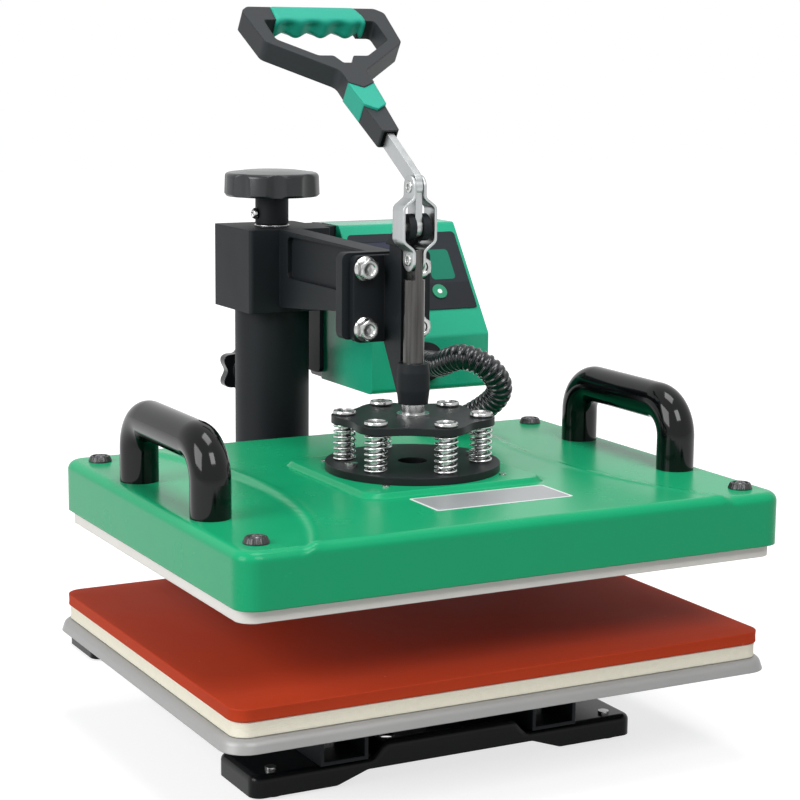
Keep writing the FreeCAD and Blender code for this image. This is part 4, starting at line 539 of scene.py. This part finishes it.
knob_line = profile((bore_radius, 0.0, 0), (0.0346, 0.0, 0.0004), (knob_radius, 0.0016, 0.0006),
                    (0.0354, 0.0172, 0.0036), (0.0200, 0.0191, 0.03), (0, 0.0200, 0), steps=12)
piece("knob_head", [turned(knob_line, (0, column_y, knob_z), around=256, shape=scallops)],
      knob_black_painted_crown, "knob_group", "black_plastic", "pressure_knob", sharp=50)
sleeve_line = profile((bore_radius, 0, 0), (sleeve_radius, 0, 0.0012),
                      (sleeve_radius, 0.0215, 0.0003), (bore_radius, 0.0215, 0))
piece("knob_sleeve", [turned(sleeve_line, (0, column_y, sleeve_z))], powder_coat, "knob_group",
      "black_plastic", "knob_fittings", sharp=30)
washer_line = profile((0.0082, 0, 0), (0.0132, 0, 0.0003), (0.0132, 0.001, 0.0004),
                      (0.0082, 0.001, 0))
screw_line = profile((0, 0, 0), (0.0024, 0, 0), (0.0024, 0.0008, 0), (0.0042, 0.0009, 0.0003),
                     (0.0042, 0.0017, 0.0004), (0.0032, 0.0034, 0.0012),
                     (0.0024, 0.0034, 0.0002), (0.0018, 0.0033, 0), (0.0012, 0.0033, 0),
                     (0.0006, 0.0033, 0), (0, 0.0033, 0), steps=6)
set_screw = turned(screw_line, (-sleeve_radius, column_y, screw_z), (-1, 0, 0), 64,
                   cross_recess(0.0009, 0.0026, 0.0012, 0.0022))
piece("knob_screw_and_washer", [turned(washer_line, (0, column_y, washer_z)), set_screw], zinc,
      "knob_group", "zinc_steel")

# ------------------------------------------------------------------ lock knob
# Six-lobed clamping knob on a stud at the back of the column.
dress(moulded_black, "lock_knob")

# --------------------------------------------------------------- clamp bracket
# Fabricated bracket with the guide barrel. Powder-coated like the arm.
dress(powder_coat, "clamp_bracket")
dress(moulded_black, "guide_bush")

# --------------------------------------------------------- hex flange bolts
# Four M8 flange bolts hold the bracket to the arm: a thin skirt, a hexagon with
# a chamfered crown and a dished top, and a plain nut behind.
plate_front_y, flange_back_y = press_y + 0.0325, press_y + 0.0485
bolt_x, bolt_low_z, bolt_high_z, bolt_flats = 0.0198, 0.28165, 0.32235, 0.013


def hexagon(flats, angle):
    """Radius at each angle of a hexagon of the given size across flats."""
    return flats / 2 / np.cos((angle + np.pi / 6) % (np.pi / 3) - np.pi / 6)


def hexagonal(flats, low, high):
    """Radii cut to a hexagon across flats between two heights."""
    def cut(angle, r, z):
        return np.where((z > low) & (z < high), np.minimum(hexagon(flats, angle), r), r), z
    return cut


bolt_line = np.concatenate([
    profile((0, 0, 0), (0.0084, 0, 0.0003), (0.0083, 0.0011, 0.0004), (0.0077, 0.0021, 0),
            steps=4),
    np.linspace((0.0077, 0.0021), (0.0077, 0.0068), 3),
    np.linspace((0.0075, 0.0070), (0.0063, 0.0077), 8),
    profile((0.0062, 0.0077, 0), (0.0058, 0.0080, 0.0002), (0.0041, 0.0079, 0.0005),
            (0.0034, 0.0069, 0.0004), (0.0016, 0.0067, 0.0005), (0, 0.0067, 0), steps=5)])
nut_line = np.concatenate([np.linspace((0.0039, 0), (0.0077, 0), 2),
                           np.linspace((0.0075, 0.0055), (0.0066, 0.0065), 8),
                           np.linspace((0.0046, 0.0065), (0.0039, 0.0058), 2)])
shank_line = profile((0.0040, -0.001, 0), (0.0040, 0.0072, 0.0006), (0, 0.0072, 0))
bolt_skins = []
for x in (-bolt_x, bolt_x):
    for z in (bolt_low_z, bolt_high_z):
        front, back = (x, plate_front_y, z), (x, flange_back_y, z)
        bolt_skins.append(turned(bolt_line, front, (0, -1, 0), 96,
                                 hexagonal(bolt_flats, 0.0020, 0.0078)))
        bolt_skins.append(turned(nut_line, back, (0, 1, 0), 96,
                                 hexagonal(bolt_flats, -0.001, 0.0066)))
        bolt_skins.append(turned(shank_line, back, (0, 1, 0), 32))
piece("flange_bolts", bolt_skins, zinc, "arm", "zinc_steel", "bracket_bolts", sharp=25)

# --------------------------------------------------------------------- toggle
# Lever bar, two bent strip links and the plunger rod: cold-drawn steel, zinc
# plated, with fine lines along the drawing direction.
drawn_zinc = finish("drawn_zinc", (0.44, 0.455, 0.46), 0.38, metal=1.0, peel=0.00002,
                    peel_size=0.0010, drift=0.10, drift_size=0.006, rough_drift=0.08,
                    stretch=(1, 1, 0.12), edge=0.0007)
dress(drawn_zinc, "lever_bar")
ground_rod = finish("ground_rod", (0.080, 0.078, 0.076), 0.28, metal=1.0, peel=0.00001,
                    peel_size=0.0008, drift=0.85, drift_size=0.0028, rough_drift=0.10,
                    stretch=(1, 1, 0.04), edge=0.0007)
dress(ground_rod, "plunger_rod")

# Tubular rivets join the lever, links and rod: a rolled head round a dark bore.
pivot_a_z, pivot_c_z = 0.3785, 0.3305
link_sheet, link_outer, link_bow = 0.0019, 0.0047, 0.0108
link_end, link_bend, link_corner = 0.0075, 0.0045, 0.0003
stem_half, stem_radius = 0.0027, 0.0030
rivet_line = profile((stem_radius, -0.0005, 0), (0.0042, 0, 0.0002), (0.0041, 0.0007, 0.0004),
                     (stem_radius, 0.0012, 0.0005), (0.0019, 0.0010, 0.0004),
                     (0.0016, -0.0004, 0), (0, -0.0006, 0), steps=5)
stem_line = np.array([(0, -stem_half), (stem_radius, -stem_half), (stem_radius, stem_half),
                      (0, stem_half)])
for name, body, z, old in (("lever_rivet", "lever", pivot_a_z, "link_pin_top"),
                           ("plunger_rivets", "links", pivot_c_z, "link_rivets")):
    heads = [turned(rivet_line, (sign * link_outer, press_y, z), (sign, 0, 0))
             for sign in (-1, 1)]
    if body == "lever":
        heads.append(turned(stem_line, (0, press_y, z), (1, 0, 0), 32))
    piece(name, heads, zinc, body, "zinc_steel", old, sharp=35)

# Each link is a strip 15 mm wide, bent out in the middle round the ears, with
# round ends: half width = sqrt(r^2 - d^2) at the distance d past either pivot.
link_near, link_far = link_outer - link_sheet / 2, link_bow + link_sheet / 2
low_neck, low_shoulder, high_shoulder, high_neck = 0.0063, 0.0125, 0.0131, 0.0072
link_line = profile((link_near, pivot_c_z - link_end, 0),
                    (link_near, pivot_c_z + low_neck, link_bend),
                    (link_far, pivot_c_z + low_shoulder, link_bend),
                    (link_far, pivot_a_z - high_shoulder, link_bend),
                    (link_near, pivot_a_z - high_neck, link_bend),
                    (link_near, pivot_a_z + link_end, 0), steps=14)
link_run = np.concatenate([[0], np.cumsum(np.hypot(*np.diff(link_line, axis=0).T))])
stations = (0.5 - 0.5 * np.cos(np.linspace(0, np.pi, 180))) * link_run[-1]
link_x, link_z = (np.interp(stations, link_run, link_line[:, k]) for k in (0, 1))
way_x, way_z = np.gradient(link_x, stations), np.gradient(link_z, stations)
way_x, way_z = way_x / np.hypot(way_x, way_z), way_z / np.hypot(way_x, way_z)
past = np.maximum(np.maximum(pivot_c_z - link_z, link_z - pivot_a_z), 0)
link_half = np.sqrt(np.maximum(link_end ** 2 - past ** 2, link_corner ** 2))
link_skins = []
for sign in (-1, 1):
    rows = []
    for x, z, wx, wz, half in zip(link_x, link_z, way_x, way_z, link_half):
        loop = rounded(half, link_sheet / 2, min(link_corner, half * 0.9), 4)
        rows.append(np.stack([sign * (x + loop[:, 1] * wz), press_y + loop[:, 0],
                              z - loop[:, 1] * wx], -1))
    link_skins.append(skin(np.stack(rows), fan=True))
piece("toggle_links", link_skins, drawn_zinc, "links", "zinc_steel", "toggle_link_left",
      "toggle_link_right", sharp=35)

# -------------------------------------------------------------- spider plate
# Six-lobed plate on the plunger, over the round disc that is screwed to the
# cover. Black powder coat, a little greyer where it has been handled.
spider_coat = finish("spider_coat", (0.010, 0.012, 0.013), 0.42, peel=0.00003,
                     peel_size=0.0009, edge=0.001, specular=0.20)
dress(spider_coat, "spider_plate", "mount_disc")

# --------------------------------------------------------------- spider bolts
# Flat-headed bolts that slide through the spider: a rolled rim round a shallow
# dish with a hexagon socket.
spider_circle, spider_top, dish_flats, dish_radius = 0.0455, 0.2265, 0.005, 0.0027
shank_radius, shank_end = 0.00425, -0.0305
spider_spots = []
for k in range(6):
    spoke = math.radians(30 + 60 * k)
    spider_spots.append((spider_circle * math.cos(spoke),
                         press_y + spider_circle * math.sin(spoke)))


def socket(angle, r, z):
    """Radii inside the dish cut to a hexagon."""
    return np.where(np.abs(r - dish_radius) < 0.0002, hexagon(dish_flats, angle), r), z


head_line = profile((0, shank_end, 0), (shank_radius, shank_end, 0), (shank_radius, 0, 0),
                    (0.0074, 0, 0.0004), (0.0079, 0.0014, 0.0008), (0.0075, 0.0030, 0.0007),
                    (0.0064, 0.0033, 0.0003), (0.0058, 0.0025, 0.0004),
                    (dish_radius, 0.0024, 0), (dish_radius, 0.0008, 0), (0, 0.0006, 0), steps=5)
spider_skins = [turned(head_line, (x, y, spider_top), around=48, shape=socket)
                for x, y in spider_spots]
piece("spider_screws", spider_skins, zinc, "platen", "zinc_steel", "spider_bolts", sharp=35)

# -------------------------------------------------------------------- springs
# Six open coils of 1.7 mm bright wire between the spider and the disc, with a
# closed turn at each end, ground flat.
spring_low, spring_high, wire_radius, spring_turns = 0.196, 0.2215, 0.00085, 7.5
closed_turns, closed_climb, coil_radius = 0.9, 0.36, 0.00765 - wire_radius
turn = np.linspace(0, spring_turns, 300)
closed = (turn < closed_turns) | (turn > spring_turns - closed_turns)
climb = np.cumsum(np.where(closed, closed_climb, 1.0))
climb = (climb - climb[0]) / (climb[-1] - climb[0])
coil_z = spring_low + wire_radius * 0.6 + climb * (spring_high - spring_low - wire_radius * 1.2)
wind = 2 * np.pi * turn
out = np.stack([np.cos(wind), np.sin(wind), np.zeros_like(turn)], -1)
spring_skins = []
for x, y in spider_spots:
    coil = np.stack([x + coil_radius * np.cos(wind), y + coil_radius * np.sin(wind), coil_z], -1)
    way = np.gradient(coil, axis=0)
    way /= np.linalg.norm(way, axis=1)[:, None]
    ring = spokes(out, np.cross(way, out), np.linspace(0, 2 * np.pi, 10, endpoint=False))
    grid = coil[:, None] + ring * wire_radius
    grid[..., 2] = np.clip(grid[..., 2], spring_low, spring_high)
    spring_skins.append(skin(grid, fan=True))
spring_wire = finish("spring_wire", (0.70, 0.71, 0.71), 0.20, metal=1.0, drift=0.1,
                     drift_size=0.003, edge=0)
springs = piece("springs", spring_skins, spring_wire, "plunger", "zinc_steel",
                "pressure_springs", sharp=50)
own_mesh(springs)

# --------------------------------------------------------------- platen cover
# Deep-drawn sheet lid over the heater, enamelled green. The middle stands a
# step above the two ends, behind a rounded bead along each arc, and a raised
# square carries the disc.
cover_half_x, cover_half_y, cover_corner, cover_roll = 0.192, 0.154, 0.014, 0.0065
cover_low, cover_high, end_drop, cover_sheet = 0.152, 0.188, 0.0015, 0.0014
square_half_x, square_half_y, square_corner, square_rise = 0.067, 0.065, 0.013, 0.003
drop_wide, bead_off, bead_tall, groove_deep = 0.006, 0.0035, 0.0007, 0.0004
square_slope, square_groove = 0.0035, 0.0012


def fine_steps(half, low, high):
    """Steps from -half to half: even ones of 3 mm, the arc of the rolled edge, and 0.6 mm ones
    from low to high on either side."""
    roll = cover_roll * (1 - np.sin(np.linspace(0, np.pi / 2, 9)))
    marks = [np.arange(0, half - cover_roll, 0.003), half - roll, np.arange(low, high, 0.0006)]
    marks = np.unique(np.round(np.concatenate(marks), 6))
    marks = marks[np.concatenate([[True], np.diff(marks) > 0.0002])]
    return np.concatenate([-marks[:0:-1], marks])


def within(x, y, half_x, half_y, radius):
    """Distance inside a rectangle with round corners, negative outside."""
    qx, qy = np.abs(x) - half_x + radius, np.abs(y) - half_y + radius
    outside = np.hypot(np.clip(qx, 0, None), np.clip(qy, 0, None))
    return radius - outside - np.minimum(np.maximum(qx, qy), 0)


def ease(t):
    """Smooth step from 0 to 1."""
    t = np.clip(t, 0, 1)
    return t * t * (3 - 2 * t)


def ridge(away, tall, wide):
    """A smooth ridge over away = 0: tall * exp(-(away / wide)^2)."""
    return tall * np.exp(-(away / wide) ** 2)


def circle_through(a, b, c):
    """Centre and radius of the circle through three points, from the two bisectors."""
    rows = 2 * np.array([[b[0] - a[0], b[1] - a[1]], [c[0] - a[0], c[1] - a[1]]])
    centre = np.linalg.solve(rows, [b @ b - a @ a, c @ c - a @ a])
    return centre, np.linalg.norm(centre - a)


arc_front, arc_middle, arc_back = np.array([(0.149, -0.154), (0.108, 0.010), (0.140, 0.154)])
arc_centre, arc_radius = circle_through(arc_front, arc_middle, arc_back)
grid_x, grid_y = np.meshgrid(fine_steps(cover_half_x, 0.0625, 0.070),
                             fine_steps(cover_half_y, 0.0605, 0.068), indexing="ij")
corner_a = np.clip((np.abs(grid_x) - cover_half_x + cover_corner) / cover_corner, 0, 1)
corner_b = np.clip((np.abs(grid_y) - cover_half_y + cover_corner) / cover_corner, 0, 1)
moved_a = corner_a * np.sqrt(1 - corner_b ** 2 / 2)
moved_b = corner_b * np.sqrt(1 - corner_a ** 2 / 2)
plan_x = np.sign(grid_x) * (np.abs(grid_x) + (moved_a - corner_a) * cover_corner)
plan_y = np.sign(grid_y) * (np.abs(grid_y) + (moved_b - corner_b) * cover_corner)
inset = within(plan_x, plan_y, cover_half_x, cover_half_y, cover_corner)
beyond = arc_radius - np.hypot(np.abs(plan_x) - arc_centre[0], plan_y - arc_centre[1])
height = cover_high - end_drop * ease((beyond + drop_wide / 2) / drop_wide)
height += (ridge(beyond + bead_off, bead_tall, 0.0022)
           - ridge(beyond - bead_off, groove_deep, 0.0015))
square = within(plan_x, plan_y, square_half_x, square_half_y, square_corner)
height = (height + square_rise * ease(square / square_slope)
          - ridge(square + square_groove, groove_deep, square_groove))
roll = np.clip(cover_roll - inset, 0, cover_roll)
height = height - (cover_roll - np.sqrt(cover_roll ** 2 - roll ** 2))
top_grid = np.stack([plan_x, plan_y + press_y, height], -1)
rim = np.concatenate([top_grid[:, 0], top_grid[-1, 1:], top_grid[-2::-1, -1],
                      top_grid[0, -2:0:-1]])
skirt = np.stack([rim * [1, 1, 0] + [0, 0, 1] * (rim[:, 2:] + (cover_low - rim[:, 2:]) * share)
                  for share in (0, 0.05, 0.5, 0.97, 1.0)])
enamel = finish("green_enamel", (0.007, 0.33, 0.140), 0.26, peel=0.00003, peel_size=0.0016,
                drift=0.03, edge=0, specular=0.14)
cover = piece("cover_pressing", [skin(top_grid, loop=False), skin(skirt)], enamel, "platen",
              "cover_green", "platen_cover", sharp=50)
wall = cover.modifiers.new("sheet", "SOLIDIFY")
wall.thickness = cover_sheet
wall.offset = -1

# ----------------------------------------------------------------- heat plate
# Cast plate with a pale non-stick coat, and the insulation over it.
dress(finish("plate_coat", (0.72, 0.70, 0.655), 0.50, metal=0.1, edge=0.0012), "heat_plate")
dress(finish("insulation", (0.7, 0.66, 0.58), 0.9), "heater_pack")

# -------------------------------------------------------------- carry handles
# Bent tube handles, dipped in gloss black.
gloss_black = finish("gloss_black", (0.0018, 0.0022, 0.0026), 0.10, edge=0, drift=0.2,
                     specular=0.26)
dress(gloss_black, "carry_handle_left", "carry_handle_right")

# ------------------------------------------------------------- corner screws
# Black cup washers with a ribbed skirt, each round a domed screw with a cross
# recess.
cup_plastic = finish("cup_plastic", (0.012, 0.012, 0.013), 0.35, edge=0, specular=0.5)
screw_x, screw_y, cup_bore = 0.1725, 0.131, 0.0021
cup_line = profile((cup_bore, 0, 0), (0.0080, 0, 0.0003), (0.0078, 0.0009, 0.0004),
                   (0.0064, 0.0040, 0.0007), (0.0052, 0.0040, 0.0005),
                   (0.0044, 0.0022, 0.0004), (cup_bore, 0.0020, 0), steps=5)


def ribbed(angle, r, z):
    """Fine ribs round the sloping skirt."""
    return r + 0.00012 * np.sin(24 * angle) * (r > 0.0058) * (z > 0.0005), z


dome_line = profile((cup_bore, 0.0015, 0), (0.0040, 0.0021, 0.0002), (0.0038, 0.0034, 0.0010),
                    (0.0026, 0.0042, 0.002), (0.0020, 0.0043, 0), (0.0014, 0.0044, 0),
                    (0.0008, 0.0045, 0), (0, 0.0045, 0), steps=5)
dome_cross = cross_recess(0.0006, 0.0024, 0.0010, 0)
cup_skins, dome_skins = [], []
for x in (-screw_x, screw_x):
    for y in (-screw_y, screw_y):
        spot = (x, press_y + y, cover_high - end_drop)
        cup_skins.append(turned(cup_line, spot, around=96, shape=ribbed))
        dome_skins.append(turned(dome_line, spot, around=64, shape=dome_cross))
piece("cup_washers", cup_skins, cup_plastic, "platen", "powder_black", "cover_screws", sharp=50)
black_zinc = finish("black_zinc", (0.10, 0.10, 0.105), 0.28, metal=0.9, edge=0)
piece("cup_screws", dome_skins, black_zinc, "platen", "powder_black", sharp=50)
dress(moulded_black, "platen_gland", "box_gland")

# ---------------------------------------------------------------- blank label
# A bare film label with a pale border, stuck on the cover's front.
label_film = finish("label_film", (0.30, 0.31, 0.32), 0.35, edge=0, drift=0.03)
label_border = finish("label_border", (0.75, 0.76, 0.76), 0.35, edge=0, drift=0.02)
label_x, label_y = 0.008, press_y - 0.091
for name, half_x, half_y, corner, sunk, proud, look in (
        ("label_rim", 0.0495, 0.0190, 0.002, 0.0001, 0.00012, label_border),
        ("label_face", 0.0477, 0.0172, 0.001, 0, 0.0002, label_film)):
    low, high = cover_high - sunk, cover_high + proud
    points, faces = sheet_stack(half_x, half_y, corner,
                                [(None, low), (0, low), (0, high), (None, high)], label_y)
    piece(name, [(points + [label_x, 0, 0], faces)], look, "platen", "panel_grey")

# --------------------------------------------------------------------- handle
# Glass-filled nylon frame and neck sleeve, charcoal, with a soft teal grip and
# band moulded over them.
nylon = finish("handle_nylon", (0.022, 0.0252, 0.0282), 0.50, peel=0.00005, peel_size=0.0010,
               edge=0.0015, specular=0.22)
dress(nylon, "handle_frame", "neck_sleeve")
teal = finish("teal_rubber", (0.012, 0.34, 0.240), 0.46, peel=0.00004, peel_size=0.0008,
              edge=0.0014, specular=0.30)
dress(teal, "neck_band")
lean, grip_along, grip_square = math.radians(32.5), 0.1885, 0.0073
grip_outer, grip_inner, grip_over, grip_under = 0.0089, 0.0109, 0.0077, 0.0086
grip_left, left_tilt, grip_right, right_tilt = -0.0340, 0.0010, 0.0365, 0.0022
end_round, end_soft, hollow_reach, hollow_fade = 0.0008, 0.0005, 0.035, 0.004
finger_step, hollow_x, hollow_deep, lip_x, lip_deep = 0.0195, -0.0235, 0.0030, -0.0180, 0.0018


def on_lever(x, along, square):
    """Points across, along and square to the lever, from its top pivot."""
    return np.stack([x, press_y + along * math.cos(lean) - square * math.sin(lean),
                     pivot_a_z + along * math.sin(lean) + square * math.cos(lean)], -1)


def grip_radius(x, angle):
    """Radius of the grip: a squarish ring (|cos a / u|^4 + |sin a / v|^4)^(-1/4), sunk by four
    finger hollows on the side that faces the operator, each with a lip that hangs below it."""
    cos, sin = np.cos(angle), np.sin(angle)
    ring = (np.abs(cos / np.where(cos > 0, grip_outer, grip_inner)) ** 4
            + np.abs(sin / np.where(sin > 0, grip_over, grip_under)) ** 4) ** (-1 / 4)
    hollow = np.cos(np.pi * (x - hollow_x) / finger_step) ** 2
    hollow = hollow * ease((hollow_reach - x) / hollow_fade)
    hollow = hollow * ease((hollow_reach + x) / hollow_fade)
    lip = np.cos(np.pi * (x - lip_x) / finger_step) ** 2
    turn = np.degrees(angle)
    front = ease((turn - 135) / 40) * ease((265 - turn) / 40)
    low = ease((turn - 190) / 40) * ease((300 - turn) / 50)
    return ring - hollow_deep * hollow * front + lip_deep * lip * low


around, ends = np.meshgrid(np.linspace(0, 2 * np.pi, 120, endpoint=False),
                           np.linspace(0, 1, 110))
left_end = grip_left + left_tilt * (1 + np.cos(around))
right_end = grip_right - right_tilt * (1 + np.cos(around))
grip_x = left_end + (right_end - left_end) * ends
from_end = np.minimum(grip_x - left_end, right_end - grip_x)
grip_r = grip_radius(grip_x, around) - end_round * np.exp(-from_end / end_soft)
grip = on_lever(grip_x, grip_along + grip_r * np.cos(around),
                grip_square + grip_r * np.sin(around))
piece("finger_grip", [skin(grip, fan=True)], teal, "lever", "teal_plastic", "handle_grip",
      sharp=50)

# The sleeve is hollow round the bar, so its mouth is in shadow.
mouth_square, mouth_along = 0.0041, (0.0479, 0.0480)
mouth = rounded(0.0048, 0.0057, 0.0010, 6)
mouth_rows = [on_lever(mouth[:, 0], np.full(len(mouth), along), mouth[:, 1] + mouth_square)
              for along in mouth_along]
shadow = finish("shadow", (0.002, 0.002, 0.002), 0.9, edge=0, specular=0.05)
piece("sleeve_mouth", [skin(np.stack(mouth_rows), fan=True)], shadow, "lever", "black_plastic")

# --------------------------------------------------------------- control box
# Folded green shell on a black back, with a dark film panel, a tinted window,
# round keys with a small light each and a bare green patch. Nothing is lettered.
dress(moulded_black, "box_back", "power_inlet", "power_rocker", "circuit_board")
box_enamel = finish("box_enamel", (0.012, 0.38, 0.220), 0.26, peel=0.00003, peel_size=0.0016,
                    drift=0.03, edge=0.0012, specular=0.34)
dress(box_enamel, "box_shell")
panel_film = finish("panel_film", (0.013, 0.017, 0.022), 0.42, edge=0, drift=0.04, specular=0.22)
dress(panel_film, "membrane_panel")
dress(finish("window", (0.016, 0.020, 0.045), 0.07), "display_window")
key_green = finish("key_green", (0.012, 0.25, 0.13), 0.32)
dress(key_green, "key_left", "key_middle", "key_right")
slope_run, slope_rise = 57, 80
slope = math.hypot(slope_run, slope_rise)
face_low = np.array([0, column_y - 0.077, 0.255])
face_up = np.array([0, slope_run, slope_rise]) / slope
face_out = np.array([0, -slope_rise, slope_run]) / slope


def film(across, up, radius, off):
    """A thin slab with round corners on the sloping face, from its spans across the face, up the
    slope and off the face."""
    (x0, x1), (s0, s1) = across, up
    flat = rounded((x1 - x0) / 2, (s1 - s0) / 2, radius, 8) + [(x0 + x1) / 2, (s0 + s1) / 2]
    rows = [face_low + flat[:, :1] * [1, 0, 0] + flat[:, 1:] * face_up + face_out * n for n in off]
    return skin(np.stack(rows), fan=True)


strip_film = finish("strip_film", (0.008, 0.010, 0.014), 0.42, edge=0, drift=0.04, specular=0.22)
lit = finish("key_light", (0.86, 0.90, 0.87), 0.3, edge=0)
for letter, x in (("a", 0.062), ("b", 0.088), ("c", 0.1135)):
    for kind, half, up, radius, off, look in (
            ("cap_", 0.006, (0.0309, 0.0429), 0.0059, (0.00184, 0.00196), key_green),
            ("light_", 0.0019, (0.0350, 0.0388), 0.0018, (0.00190, 0.00204), lit)):
        piece(kind + letter, [film((x - half, x + half), up, radius, off)], look,
              "key_" + letter, "key_green")
patch_film = finish("patch_film", (0.005, 0.165, 0.100), 0.40, edge=0, drift=0.03, specular=0.25)
for name, across, up, radius, off, look in (
        ("panel_strip", (0.0502, 0.1418), (0.0222, 0.0446), 0.001, (0.0009, 0.00103), strip_film),
        ("panel_patch", (0.1110, 0.1312), (0.0475, 0.0735), 0.003, (0.0009, 0.00112), patch_film)):
    piece(name, [film(across, up, radius, off)], look, "arm", "panel_grey")
